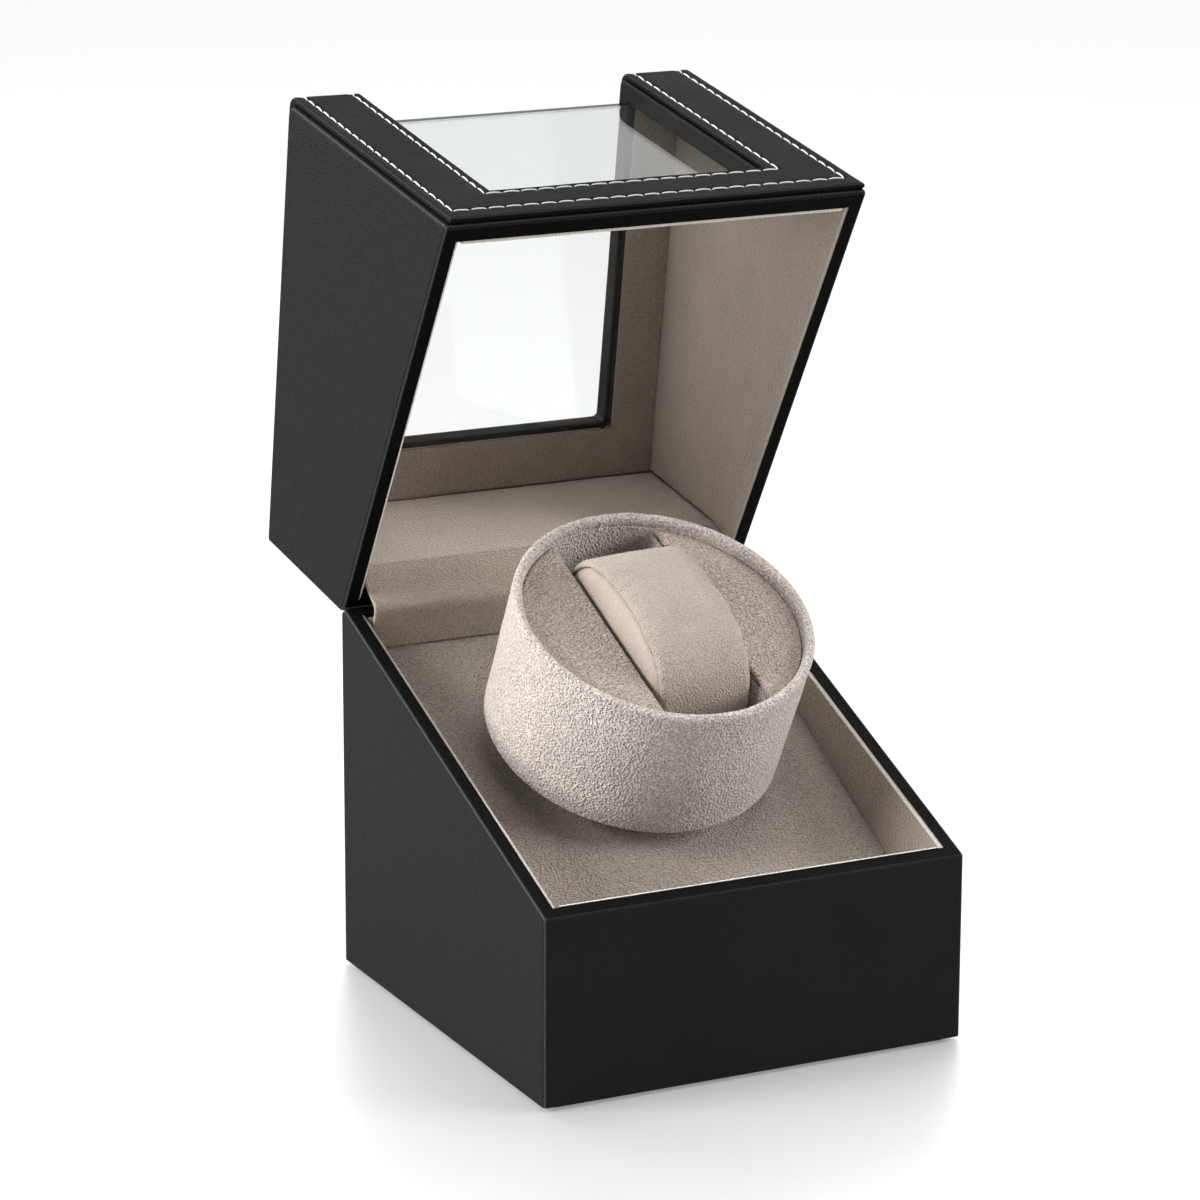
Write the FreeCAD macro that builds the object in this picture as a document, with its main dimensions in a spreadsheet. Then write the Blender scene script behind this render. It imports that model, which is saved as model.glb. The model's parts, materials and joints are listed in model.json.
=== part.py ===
import FreeCAD, Part
import math
import os
import re
import Sketcher
from FreeCAD import Vector

# A watch winder: a leather-covered box on a sloping parting line, with a glazed lid that stands
# open, a suede drum that a small geared motor turns, and a lift-out pillow that a watch is worn on.
# Millimetres. X is to the right, Y to the rear, Z up. The origin is under the middle of the box,
# on the surface that its felt foot stands on. The lid is drawn shut and then turned open about its
# hinge, and everything that turns with the drum is drawn about the drum's own tilted axis.

SIZES = {
    # The box, shut
    "outer_width": 120.5,
    "outer_depth": 126.0,
    "front_height": 50.0,
    "rear_height": 100.0,
    "closed_height": 153.0,
    "foot_height": 1.2,
    "foot_inset": 2.5,
    "skin": 0.8,
    "side_wall": 4.0,
    "front_wall": 3.3,
    "rear_wall": 4.0,
    "corner_radius": 1.3,
    "bottom_board": 3.0,
    "block_side": 9.0,
    "block_height": 16.0,
    "case_screw_radius": 1.25,
    "case_screw_head": 2.6,
    "case_screw_length": 12.0,
    # The tray and the linings of the box
    "tray_tilt": 28.0,
    "tray_axis_y": 12.8,
    "tray_axis_height": 65.7,
    "tray_board": 3.0,
    "tray_lining": 1.0,
    "tray_hole": 7.5,
    "cleat_side": 6.0,
    "cleat_margin": 9.0,
    "lining": 1.9,
    "front_lining": 1.7,
    "rear_lining": 2.5,
    "lining_drop": 0.5,
    # The lid
    "rim_gap": 0.4,
    "lid_open": 81.0,
    "lid_front_wall": 5.0,
    "lid_top_wall": 5.0,
    "lid_edge_radius": 3.0,
    "window_half": 39.0,
    "window_bottom": 69.8,
    "window_rear": 99.0,
    "pane": 2.0,
    "pane_ledge": 1.4,
    "rear_pad": 7.0,
    "pad_bottom": 105.0,
    "pad_round": 1.2,
    "cover": 2.0,
    "cover_inset": 1.2,
    "cover_bottom": 50.6,
    "cover_window_margin": 0.8,
    "cover_round": 0.7,
    # The hinges
    "hinge_inset": 1.9,
    "hinge_x": 34.0,
    "hinge_width": 18.0,
    "hinge_play": 0.3,
    "knuckle_radius": 1.5,
    "knuckle_gap": 0.2,
    "hinge_pin_radius": 0.75,
    "hinge_pin_play": 0.04,
    "leaf": 0.8,
    "leaf_height": 10.0,
    "base_bevel": 30.0,
    "lid_bevel": 51.5,
    "flap": 1.2,
    "flap_bulge": 1.5,
    "flap_rise": 2.9,
    "flap_tuck": 3.0,
    "flap_gap": 0.3,
    # The drum
    "park_angle": 3.2,
    "drum_radius": 40.3,
    "drum_base_radius": 39.8,
    "drum_rim_height": 48.6,
    "drum_base_height": 7.3,
    "drum_suede": 0.7,
    "drum_shell_wall": 1.6,
    "drum_floor": 2.4,
    "drum_rim_fold": 4.4,
    "drum_round": 1.3,
    "face_recess": 3.2,
    "face_plate": 2.0,
    "face_play": 0.1,
    "slot_width": 30.4,
    "slot_floor_height": 17.2,
    "slot_wall": 1.2,
    "hub_radius": 15.0,
    "hub_flange": 2.3,
    "hub_boss_radius": 6.0,
    "hub_screw_radius": 1.0,
    "hub_screw_head": 2.0,
    "hub_screw_circle": 10.5,
    # The pillow
    "pillow_length": 58.0,
    "pillow_height": 39.6,
    "pillow_width": 27.4,
    "pillow_end_radius": 18.0,
    "pillow_crown": 0.7,
    "pillow_seat_gap": 0.3,
    "pillow_band": 1.2,
    "pillow_cheek": 1.3,
    # The drive
    "shaft_radius": 2.5,
    "shaft_play": 0.04,
    "shaft_overhang": 2.4,
    "clip_radius": 4.0,
    "clip": 0.8,
    "clip_gap": 0.3,
    "bush_radius": 3.6,
    "bush_flange_radius": 5.0,
    "bush_flange": 0.8,
    "thrust_gap": 0.1,
    "gear_plate": 3.0,
    "gear_space": 13.0,
    "plate_left": 42.0,
    "plate_right": 25.0,
    "plate_front": 34.0,
    "plate_back": 24.0,
    "post_radius": 3.5,
    "post_inset": 5.0,
    "drive_screw_radius": 1.25,
    "drive_screw_head": 2.5,
    "drive_screw_bite": 2.5,
    "gear_module": 0.8,
    "output_teeth": 48.0,
    "compound_pinion_teeth": 12.0,
    "compound_wheel_teeth": 40.0,
    "motor_pinion_teeth": 10.0,
    "backlash": 0.12,
    "output_gear": 5.0,
    "output_gear_boss": 3.0,
    "output_gear_boss_radius": 5.0,
    "output_gear_lift": 2.0,
    "compound_pinion": 6.0,
    "compound_wheel": 3.0,
    "compound_lift": 1.5,
    "compound_wheel_lift": 8.5,
    "idler_pin_radius": 1.5,
    "motor_radius": 12.0,
    "motor_length": 18.0,
    "motor_boss_radius": 3.0,
    "motor_shaft_radius": 1.0,
    "motor_pinion_length": 5.0,
    "motor_pinion_lift": 7.5,
    "motor_screw_radius": 0.9,
    "motor_screw_spread": 8.0,
    "motor_screw_bite": 3.0,
    # The controls at the rear
    "panel_width": 58.0,
    "panel_height": 26.0,
    "panel": 1.6,
    "panel_z": 26.0,
    "panel_lap": 3.0,
    "panel_round": 3.0,
    "panel_post_radius": 2.0,
    "panel_post_margin": 0.6,
    "circuit_depth": 9.0,
    "circuit_board": 1.6,
    "circuit_width": 50.0,
    "circuit_height": 24.0,
    "knob_margin": 15.0,
    "knob_radius": 6.5,
    "knob_length": 8.0,
    "knob_stem_radius": 2.9,
    "knob_play": 0.06,
    "knob_gap": 0.3,
    "knob_root": 1.2,
    "knob_draft": 0.6,
    "knob_chamfer": 0.8,
    "knob_mark": 1.0,
    "switch_side": 12.0,
    "switch_gap": 2.0,
    "rocker_width": 8.0,
    "rocker_height": 13.0,
    "rocker_rise": 1.6,
    "rocker_dip": 1.0,
    "rocker_draft": 0.4,
    "rocker_floor": 1.2,
    "rocker_tail": 2.0,
    "rocker_tail_half": 3.0,
    "rocker_pivot_depth": 2.5,
    "rocker_angle": 8.0,
    "rocker_swing": 0.7,
    "rocker_play": 0.4,
    "rocker_cheek": 1.2,
    "rocker_pin_radius": 1.0,
    "jack_margin": 13.0,
    "jack_side": 10.0,
    "jack_gap": 0.4,
    "jack_lip": 0.4,
    "jack_barrel_root": 1.6,
    "jack_barrel_radius": 4.0,
    "jack_bore_radius": 3.0,
    "jack_bore_depth": 8.5,
    "jack_pin_radius": 1.0,
    # The motor's leads
    "lead_radius": 0.7,
    "lead_spread": 3.0,
    "lead_offset": 4.0,
    "lead_reach": 11.0,
}

doc = FreeCAD.newDocument("WatchWinder")
sheet = doc.addObject("Spreadsheet::Sheet", "Sizes")
for row, (alias, number) in enumerate(SIZES.items(), start=1):
    sheet.set("A%d" % row, alias)
    sheet.set("B%d" % row, str(number))
    sheet.setAlias("B%d" % row, alias)
doc.recompute()

ALIAS = re.compile(r"\b(" + "|".join(sorted(SIZES, key=len, reverse=True)) + r")\b")


def bound(text):
    """The text of a formula with each size named as its cell in the sheet."""
    return ALIAS.sub(r"Sizes.\1", str(text))


def number(text):
    """The value of a formula, for the shapes that read their sizes in code."""
    value = sheet.evalExpression(bound(text))
    return float(getattr(value, "Value", value))


# Places that several pieces share, as formulas of the sizes
FRONT = "(-outer_depth / 2)"
REAR = "(outer_depth / 2)"
INSIDE = "(outer_width / 2 - side_wall)"
INNER_FRONT = "(front_wall - outer_depth / 2)"
INNER_REAR = "(outer_depth / 2 - rear_wall)"
LID_INNER_FRONT = "(lid_front_wall - outer_depth / 2)"
TOP = "(foot_height + closed_height)"
INNER_TOP = "(foot_height + closed_height - lid_top_wall)"
WINDOW_BOTTOM = "(foot_height + window_bottom)"
WINDOW_REAR = "(window_rear - outer_depth / 2)"
HINGE_Y = "(outer_depth / 2 - hinge_inset)"


def rim(y):
    """The height of the box's sloping rim at y."""
    slope = "(rear_height - front_height) / outer_depth"
    return "(foot_height + front_height + (%s + outer_depth / 2) * %s)" % (y, slope)


def lid_rim(y):
    """The height of the shut lid's rim at y."""
    return "(%s + rim_gap)" % rim(y)


def tray(y, below="0"):
    """The height at y of the plane that lies below the tray's lining surface, square to it."""
    rise = "(%s - tray_axis_y) * tan(tray_tilt)" % y
    return "(foot_height + tray_axis_height + %s - (%s) / cos(tray_tilt))" % (rise, below)


HINGE_Z = "(%s + rim_gap / 2)" % rim(HINGE_Y)


def base_bevel(y):
    """The height of the box's bevel behind the hinge axis."""
    return "(%s - (%s - %s) * tan(base_bevel))" % (rim(HINGE_Y), y, HINGE_Y)


def lid_bevel(y):
    """The height of the shut lid's bevel behind the hinge axis."""
    return "(%s + (%s - %s) * tan(lid_bevel))" % (lid_rim(HINGE_Y), y, HINGE_Y)


def place(x, y, z, axis=(1, 0, 0), angle="0"):
    """One placement as a formula."""
    turn = "rotation(vector(%d; %d; %d); %s)" % (axis[0], axis[1], axis[2], angle)
    return "placement(vector(%s; %s; %s); %s)" % (x, y, z, turn)


ABOUT_HINGE = place("0", HINGE_Y, HINGE_Z, angle="0 - lid_open")
LID_OPEN = ABOUT_HINGE + " * " + place("0", "0 - " + HINGE_Y, "0 - " + HINGE_Z)
ON_TRAY = place("0", "tray_axis_y", "foot_height + tray_axis_height", angle="tray_tilt")
ON_DRUM = ON_TRAY + " * " + place("0", "0", "0", axis=(0, 0, 1), angle="park_angle")


def settle(item, label, where=None):
    """Gives a sub-part its name and, where it needs one, its place."""
    item.Label = label
    if where:
        item.setExpression("Placement", bound(where))
    return item


def origin_plane(body, role):
    return [plane for plane in body.Origin.OriginFeatures if plane.Role == role][0]


def new_sketch(body, role, offset="0", tilt=None):
    """An empty sketch on one of the body's own planes, moved along that plane's normal."""
    sketch = body.newObject("Sketcher::SketchObject", body.Name + "_sketch")
    sketch.AttachmentSupport = (origin_plane(body, role), [""])
    sketch.MapMode = "FlatFace"
    if tilt:
        sketch.setExpression("AttachmentOffset", bound(tilt))
    else:
        sketch.setExpression("AttachmentOffset.Base.z", bound(offset))
    return sketch


def bind(sketch, kind, geometry, point, formula):
    """One distance from the sketch's origin, bound to a formula."""
    value = number(formula)
    index = sketch.addConstraint(Sketcher.Constraint(kind, -1, 1, geometry, point, value))
    sketch.setExpression("Constraints[%d]" % index, bound(formula))


def draw_polygon(sketch, points, bend=None):
    """A closed outline of straight lines through points that are formulas.

    A bend, given as a centre and a radius, is a quarter arc in place of the line between the last
    two points, from its top to its left.
    """
    first = sketch.GeometryCount
    here = [Vector(number(u), number(v), 0) for u, v in points]
    count = len(points)
    for side, (start, end) in enumerate(zip(here, here[1:] + here[:1])):
        if bend and side == count - 2:
            circle = Part.Circle(Vector(number(bend[0]), number(bend[1]), 0), Vector(0, 0, 1), number(bend[2]))
            sketch.addGeometry(Part.ArcOfCircle(circle, math.pi / 2, math.pi))
        else:
            sketch.addGeometry(Part.LineSegment(start, end))
    for side in range(count):
        following = first + (side + 1) % count
        sketch.addConstraint(Sketcher.Constraint("Coincident", first + side, 2, following, 1))
    for side, (u, v) in enumerate(points):
        bind(sketch, "DistanceX", first + side, 1, u)
        bind(sketch, "DistanceY", first + side, 1, v)
    if bend:
        size = sketch.addConstraint(Sketcher.Constraint("Radius", first + count - 2, number(bend[2])))
        sketch.setExpression("Constraints[%d]" % size, bound(bend[2]))


def draw_circle(sketch, u, v, radius):
    """A circle whose centre and radius are formulas."""
    index = sketch.GeometryCount
    centre = Vector(number(u), number(v), 0)
    sketch.addGeometry(Part.Circle(centre, Vector(0, 0, 1), number(radius)))
    bind(sketch, "DistanceX", index, 3, u)
    bind(sketch, "DistanceY", index, 3, v)
    size = sketch.addConstraint(Sketcher.Constraint("Radius", index, number(radius)))
    sketch.setExpression("Constraints[%d]" % size, bound(radius))


def rectangle(u0, v0, u1, v1):
    return [(u0, v0), (u1, v0), (u1, v1), (u0, v1)]


def new_body(name):
    return doc.addObject("PartDesign::Body", name)


def pad(body, sketch, length, both=False):
    feature = body.newObject("PartDesign::Pad", body.Name + "_pad")
    feature.Profile = sketch
    feature.setExpression("Length", bound(length))
    feature.Midplane = both
    doc.recompute()
    return feature


def pocket(body, sketch, length=None, both=False, forward=False):
    """Cuts the sketch out of the body, to a depth or right through."""
    feature = body.newObject("PartDesign::Pocket", body.Name + "_pocket")
    feature.Profile = sketch
    before = body.Shape.Volume
    if length:
        feature.setExpression("Length", bound(length))
    else:
        feature.Type = "ThroughAll"
    feature.Midplane = both
    feature.Reversed = forward
    doc.recompute()
    if body.Shape.Volume > before - 1e-6:
        raise RuntimeError("a pocket cut nothing in " + body.Name)
    return feature


def slab(name, points, width, where=None, label=None):
    """A side outline, drawn on the Y-Z plane and padded to both sides of it."""
    body = new_body(name)
    sketch = new_sketch(body, "YZ_Plane")
    draw_polygon(sketch, points)
    pad(body, sketch, width, both=True)
    return settle(body, label or name, where)


def side_slab(name, points, start, width, where=None):
    """A side outline padded along +X from start."""
    body = new_body(name)
    sketch = new_sketch(body, "YZ_Plane", start)
    draw_polygon(sketch, points)
    pad(body, sketch, width)
    return settle(body, name, where)


def cut_slab(body, points, width):
    """Cuts a side outline out of a body, to both sides of the Y-Z plane."""
    sketch = new_sketch(body, "YZ_Plane")
    draw_polygon(sketch, points)
    return pocket(body, sketch, width, both=True)


def cut_down(body, outlines, level, depth=None, forward=False):
    """Cuts outlines drawn on the X-Y plane at a level, downward or, forward, upward."""
    sketch = new_sketch(body, "XY_Plane", level)
    for points in outlines:
        draw_polygon(sketch, points)
    return pocket(body, sketch, depth, forward=forward)


def edges_where(body, test):
    """The names of the body's edges that pass a test, in the body's own frame."""
    edges = body.Tip.Shape.Edges
    return ["Edge%d" % (place + 1) for place, edge in enumerate(edges) if test(edge)]


def round_edges(body, radius, test):
    names = edges_where(body, test)
    if not names:
        raise RuntimeError("no edges to round in " + body.Name)
    base = body.Tip
    feature = body.newObject("PartDesign::Fillet", body.Name + "_fillet")
    feature.Base = (base, names)
    feature.setExpression("Radius", bound(radius))
    doc.recompute()
    return feature


def along(edge, axis):
    """Whether a straight edge runs along one axis, 0 for X, 1 for Y and 2 for Z."""
    if len(edge.Vertexes) != 2:
        return False
    span = edge.Vertexes[1].Point - edge.Vertexes[0].Point
    across = [abs(span[other]) for other in range(3) if other != axis]
    return abs(span[axis]) > 0.5 and max(across) < 1e-6


def spun(name, outline, where=None, label=None):
    """A body of revolution about its own Z axis, from an outline of radius and height."""
    body = new_body(name)
    sketch = new_sketch(body, "XZ_Plane")
    draw_polygon(sketch, outline)
    feature = body.newObject("PartDesign::Revolution", name + "_turned")
    feature.Profile = sketch
    feature.ReferenceAxis = (sketch, ["V_Axis"])
    feature.Angle = 360
    doc.recompute()
    return settle(body, label or name, where)


def primitive(kind, name, sizes, where=None):
    """A Part primitive with its sizes and its place bound to formulas."""
    item = doc.addObject("Part::" + kind, name)
    for key, formula in sizes.items():
        item.setExpression(key, bound(formula))
    if where:
        item.setExpression("Placement", bound(where))
    doc.recompute()
    return item


def rod(name, radius, height, where=None):
    return primitive("Cylinder", name, {"Radius": radius, "Height": height}, where)


def block(name, length, width, height, where=None):
    return primitive("Box", name, {"Length": length, "Width": width, "Height": height}, where)


def joined(name, items, where=None):
    item = doc.addObject("Part::MultiFuse", name)
    item.Shapes = items
    item.Refine = True
    doc.recompute()
    return settle(item, name, where)


def cut(name, base, tool, where=None):
    item = doc.addObject("Part::Cut", name)
    item.Base = base
    item.Tool = tool
    item.Refine = True
    doc.recompute()
    return settle(item, name, where)


def group(name, items, where=None):
    """Like pieces that share one name, each still a solid of its own."""
    item = doc.addObject("Part::Compound", name)
    item.Links = items
    doc.recompute()
    return settle(item, name, where)


parts = {}


def keep(item):
    parts[item.Label] = item
    return item


def inset_outline(gap, rim_at, bevel_at, roof=None):
    """A side outline of the box, or of the lid under its roof, that lies inside the leather."""
    front = "(%s + %s)" % (FRONT, gap)
    rear = "(%s - %s)" % (REAR, gap)
    if roof is None:
        return [
            (front, "foot_height"),
            (rear, "foot_height"),
            (rear, "%s - %s" % (bevel_at(rear), gap)),
            (HINGE_Y, "%s - %s" % (rim_at(HINGE_Y), gap)),
            (front, "%s - %s" % (rim_at(front), gap)),
        ]
    return [
        (front, "%s + %s" % (rim_at(front), gap)),
        (HINGE_Y, "%s + %s" % (rim_at(HINGE_Y), gap)),
        (rear, "%s + %s" % (bevel_at(rear), gap)),
        (rear, "%s - %s" % (roof, gap)),
        (front, "%s - %s" % (roof, gap)),
    ]


def hinge_notches():
    """The two recesses in a rear wall that the hinge knuckles turn in, seen from above."""
    reach = "(hinge_width / 2 + hinge_play)"
    inner = "(%s - knuckle_radius - hinge_play)" % HINGE_Y
    outer = "(%s + 1)" % REAR
    return [
        rectangle("%s * hinge_x - %s" % (side, reach), inner, "%s * hinge_x + %s" % (side, reach), outer)
        for side in (-1, 1)
    ]


def leaf_slots():
    """The two mortises in a rear wall that the hinge leaves stand in, seen from above."""
    return [
        rectangle(
            "%s * hinge_x - hinge_width / 2" % side,
            "%s - leaf / 2" % HINGE_Y,
            "%s * hinge_x + hinge_width / 2" % side,
            "%s + leaf / 2" % HINGE_Y,
        )
        for side in (-1, 1)
    ]


NOTCH = "(knuckle_radius + hinge_play)"
PANEL_CUT = rectangle(
    "panel_lap - panel_width / 2",
    "panel_z - panel_height / 2 + panel_lap",
    "panel_width / 2 - panel_lap",
    "panel_z + panel_height / 2 - panel_lap",
)


def cut_panel_hole(body):
    """The hole in the rear wall that the control panel covers."""
    sketch = new_sketch(body, "XZ_Plane")
    draw_polygon(sketch, PANEL_CUT)
    pocket(body, sketch)


# The box: a leather skin over four boards, a bottom board and its corner blocks


def on_ridge(edge):
    """Whether an edge is the one along the hinge, where a rim turns down to its bevel."""
    return along(edge, 0) and abs(edge.CenterOfMass.y - number(HINGE_Y)) < 1e-3


def make_base_skin():
    body = slab("base_skin", inset_outline("0", rim, base_bevel), "outer_width")
    low = number("foot_height")
    round_edges(body, "corner_radius", lambda edge: edge.BoundBox.ZMax > low + 1e-3 and not on_ridge(edge))
    cut_slab(body, inset_outline("skin", rim, base_bevel), "outer_width - 2 * skin")
    well = rectangle("0 - " + INSIDE, INNER_FRONT, INSIDE, INNER_REAR)
    cut_down(body, [well], "foot_height", forward=True)
    cut_down(body, hinge_notches(), "%s - %s" % (HINGE_Z, NOTCH), forward=True)
    cut_panel_hole(body)
    return keep(body)


def make_base_boards():
    outline = inset_outline("skin", rim, base_bevel)
    width = "side_wall - skin"
    keep(side_slab("base_left_board", outline, "skin - outer_width / 2", width))
    keep(side_slab("base_right_board", outline, INSIDE, width))
    across = "outer_width - 2 * side_wall"
    outer_front = "(%s + skin)" % FRONT
    keep(slab("base_front_board", [
        (outer_front, "foot_height"),
        (INNER_FRONT, "foot_height"),
        (INNER_FRONT, rim(INNER_FRONT) + " - skin"),
        (outer_front, rim(outer_front) + " - skin"),
    ], across))
    outer_rear = "(%s - skin)" % REAR
    rear = slab("base_rear_board", [
        (INNER_REAR, "foot_height"),
        (outer_rear, "foot_height"),
        (outer_rear, base_bevel(outer_rear) + " - skin"),
        (HINGE_Y, rim(HINGE_Y) + " - skin"),
        (INNER_REAR, rim(INNER_REAR) + " - skin"),
    ], across)
    cut_down(rear, hinge_notches(), "%s - %s" % (HINGE_Z, NOTCH), forward=True)
    cut_down(rear, leaf_slots(), "%s - leaf_height" % HINGE_Z, forward=True)
    cut_panel_hole(rear)
    keep(rear)


def corners(inset_x, inset_y):
    """The four like places near the corners of the box."""
    return [
        ("%d * (outer_width / 2 - %s)" % (side, inset_x), "%d * (outer_depth / 2 - %s)" % (end, inset_y))
        for side in (-1, 1) for end in (-1, 1)
    ]


SCREW_INSET = "(side_wall + block_side / 2)"


def make_bottom():
    board = new_body("base_bottom_board")
    sketch = new_sketch(board, "XY_Plane", "foot_height")
    draw_polygon(sketch, rectangle("0 - " + INSIDE, INNER_FRONT, INSIDE, INNER_REAR))
    pad(board, sketch, "bottom_board")
    shanks = new_sketch(board, "XY_Plane", "foot_height")
    heads = new_sketch(board, "XY_Plane", "foot_height")
    for x, y in corners(SCREW_INSET, SCREW_INSET):
        draw_circle(shanks, x, y, "case_screw_radius")
        draw_circle(heads, x, y, "case_screw_head")
    pocket(board, shanks, forward=True)
    pocket(board, heads, "bottom_board / 2", forward=True)
    keep(settle(board, "base_bottom_board"))

    felt = new_body("felt_foot")
    sketch = new_sketch(felt, "XY_Plane")
    reach_x = "(outer_width / 2 - foot_inset)"
    reach_y = "(outer_depth / 2 - foot_inset)"
    draw_polygon(sketch, rectangle("0 - " + reach_x, "0 - " + reach_y, reach_x, reach_y))
    pad(felt, sketch, "foot_height")
    round_edges(felt, "2 * corner_radius", lambda edge: along(edge, 2))
    keep(settle(felt, "felt_foot"))

    screws, blocks = [], []
    head_top = "foot_height + bottom_board / 2"
    for index, (x, y) in enumerate(corners(SCREW_INSET, SCREW_INSET)):
        head = rod("case_head_%d" % index, "case_screw_head", "bottom_board / 2 - 0.2",
                   place(x, y, "foot_height + 0.2"))
        shank = rod("case_shank_%d" % index, "case_screw_radius", "case_screw_length", place(x, y, head_top))
        screws.append(joined("case_screw_%d" % index, [head, shank]))
    low = "foot_height + bottom_board"
    for index, (side, end) in enumerate([(-1, -1), (-1, 1), (1, -1), (1, 1)]):
        x = "%d * (outer_width / 2 - side_wall - block_side / 2) - block_side / 2" % side
        wall = "front_wall" if end < 0 else "rear_wall"
        y = "%d * (outer_depth / 2 - %s - block_side / 2) - block_side / 2" % (end, wall)
        cube = block("block_%d" % index, "block_side", "block_side", "block_height", place(x, y, low))
        hole_x, hole_y = corners(SCREW_INSET, SCREW_INSET)[index]
        bite = "foot_height + bottom_board / 2 + case_screw_length"
        hole = rod("block_hole_%d" % index, "case_screw_radius", bite + " - (%s) + 1" % low,
                   place(hole_x, hole_y, low + " - 1"))
        blocks.append(cut("corner_block_%d" % index, cube, hole))
    keep(group("bottom_screws", screws))
    keep(group("corner_blocks", blocks))


# The tray that slopes across the box, its cleats and the linings that stand on it


def tray_slab(name, top, bottom, front, rear, width):
    return slab(name, [
        (front, tray(front, bottom)),
        (rear, tray(rear, bottom)),
        (rear, tray(rear, top)),
        (front, tray(front, top)),
    ], width)


def drive_screw_places():
    """Where the four long screws of the drive pass, on the tray's own plane."""
    return [
        (x, y)
        for x in ("post_inset - plate_left", "plate_right - post_inset")
        for y in ("post_inset - plate_front", "plate_back - post_inset")
    ]


def make_tray():
    across = "outer_width - 2 * side_wall"
    under = "tray_lining + tray_board"
    board = tray_slab("tray_board", "tray_lining", under, INNER_FRONT, INNER_REAR, across)
    holes = new_sketch(board, "XY_Plane", tilt=ON_TRAY)
    draw_circle(holes, "0", "0", "tray_hole")
    for x, y in drive_screw_places():
        draw_circle(holes, x, y, "drive_screw_radius")
    pocket(board, holes, both=True)
    keep(board)
    lining = tray_slab("tray_lining", "0", "tray_lining", INNER_FRONT, INNER_REAR, across)
    hole = new_sketch(lining, "XY_Plane", tilt=ON_TRAY)
    draw_circle(hole, "0", "0", "tray_hole")
    pocket(lining, hole, both=True)
    keep(lining)
    front = "(%s + cleat_margin)" % INNER_FRONT
    rear = "(%s - cleat_margin)" % INNER_REAR
    cleats = tray_slab("tray_cleats", under, under + " + cleat_side", front, rear, across)
    middle = "outer_width - 2 * side_wall - 2 * cleat_side"
    cut_slab(cleats, rectangle(FRONT, "0", REAR, TOP), middle)
    keep(cleats)


def make_base_linings():
    across = "outer_width - 2 * side_wall"
    sides = slab("base_side_linings", [
        (INNER_FRONT, tray(INNER_FRONT)),
        (INNER_REAR, tray(INNER_REAR)),
        (INNER_REAR, rim(INNER_REAR) + " - lining_drop"),
        (INNER_FRONT, rim(INNER_FRONT) + " - lining_drop"),
    ], across)
    between = across + " - 2 * lining"
    cut_slab(sides, rectangle(FRONT, "0", REAR, TOP), between)
    keep(sides)
    inner = "(%s + front_lining)" % INNER_FRONT
    keep(slab("base_front_lining", [
        (INNER_FRONT, tray(INNER_FRONT)),
        (inner, tray(inner)),
        (inner, rim(inner) + " - lining_drop"),
        (INNER_FRONT, rim(INNER_FRONT) + " - lining_drop"),
    ], between))
    inner = "(%s - rear_lining)" % INNER_REAR
    keep(slab("base_rear_lining", [
        (inner, tray(inner)),
        (INNER_REAR, tray(INNER_REAR)),
        (INNER_REAR, rim(INNER_REAR) + " - lining_drop"),
        (inner, rim(inner) + " - lining_drop"),
    ], between))


# The lid, drawn shut and then turned open: its leather skin, boards, panes, cover and linings


def window_outline(front, roof, margin="0", depth_front=None, depth_roof=None):
    """The side outline of one window that runs up the front wall and back along the roof."""
    inner_front = depth_front or "(%s + 1)" % LID_INNER_FRONT
    inner_roof = depth_roof or "(%s - 1)" % INNER_TOP
    low = "(%s - %s)" % (WINDOW_BOTTOM, margin)
    back = "(%s + %s)" % (WINDOW_REAR, margin)
    return [(front, low), (inner_front, low), (inner_front, inner_roof),
            (back, inner_roof), (back, roof), (front, roof)]


OUTSIDE_FRONT = "(%s - cover - 1)" % FRONT
OUTSIDE_ROOF = "(%s + cover + 1)" % TOP


def make_lid_skin():
    body = slab("lid_skin", inset_outline("0", lid_rim, lid_bevel, TOP), "outer_width")
    front = number(FRONT)
    roof = number(TOP)
    bend = number("lid_edge_radius")

    def in_bend(edge):
        low_side = abs(edge.CenterOfMass.y - front) < 1e-3 and abs(edge.CenterOfMass.z - roof + bend) < 1e-3
        high_side = abs(edge.CenterOfMass.z - roof) < 1e-3 and abs(edge.CenterOfMass.y - front - bend) < 1e-3
        return along(edge, 0) and (low_side or high_side)

    round_edges(body, "lid_edge_radius",
                lambda edge: along(edge, 0) and edge.CenterOfMass.z > roof - 1e-3 and edge.CenterOfMass.y < 0)
    round_edges(body, "corner_radius", lambda edge: not on_ridge(edge) and not in_bend(edge))
    hollow = new_sketch(body, "YZ_Plane")
    front_face = "(%s + skin)" % FRONT
    roof_face = "(%s - skin)" % TOP
    round_corner = "(lid_edge_radius - skin)"
    sharp = inset_outline("skin", lid_rim, lid_bevel, TOP)[:-1]
    start = ("(%s + %s)" % (front_face, round_corner), roof_face)
    end = (front_face, "(%s - %s)" % (roof_face, round_corner))
    draw_polygon(hollow, sharp + [start, end], bend=(start[0], end[1], round_corner))
    pocket(body, hollow, "outer_width - 2 * skin", both=True)
    low = lid_rim(FRONT) + " - 5"
    cut_slab(body, [
        (LID_INNER_FRONT, low),
        (INNER_REAR, low),
        (INNER_REAR, INNER_TOP),
        (LID_INNER_FRONT, INNER_TOP),
    ], "outer_width - 2 * side_wall")
    cut_slab(body, window_outline(OUTSIDE_FRONT, OUTSIDE_ROOF), "2 * window_half")
    cut_down(body, hinge_notches(), "%s + %s" % (HINGE_Z, NOTCH))
    return keep(settle(body, "lid_skin", LID_OPEN))


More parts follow.
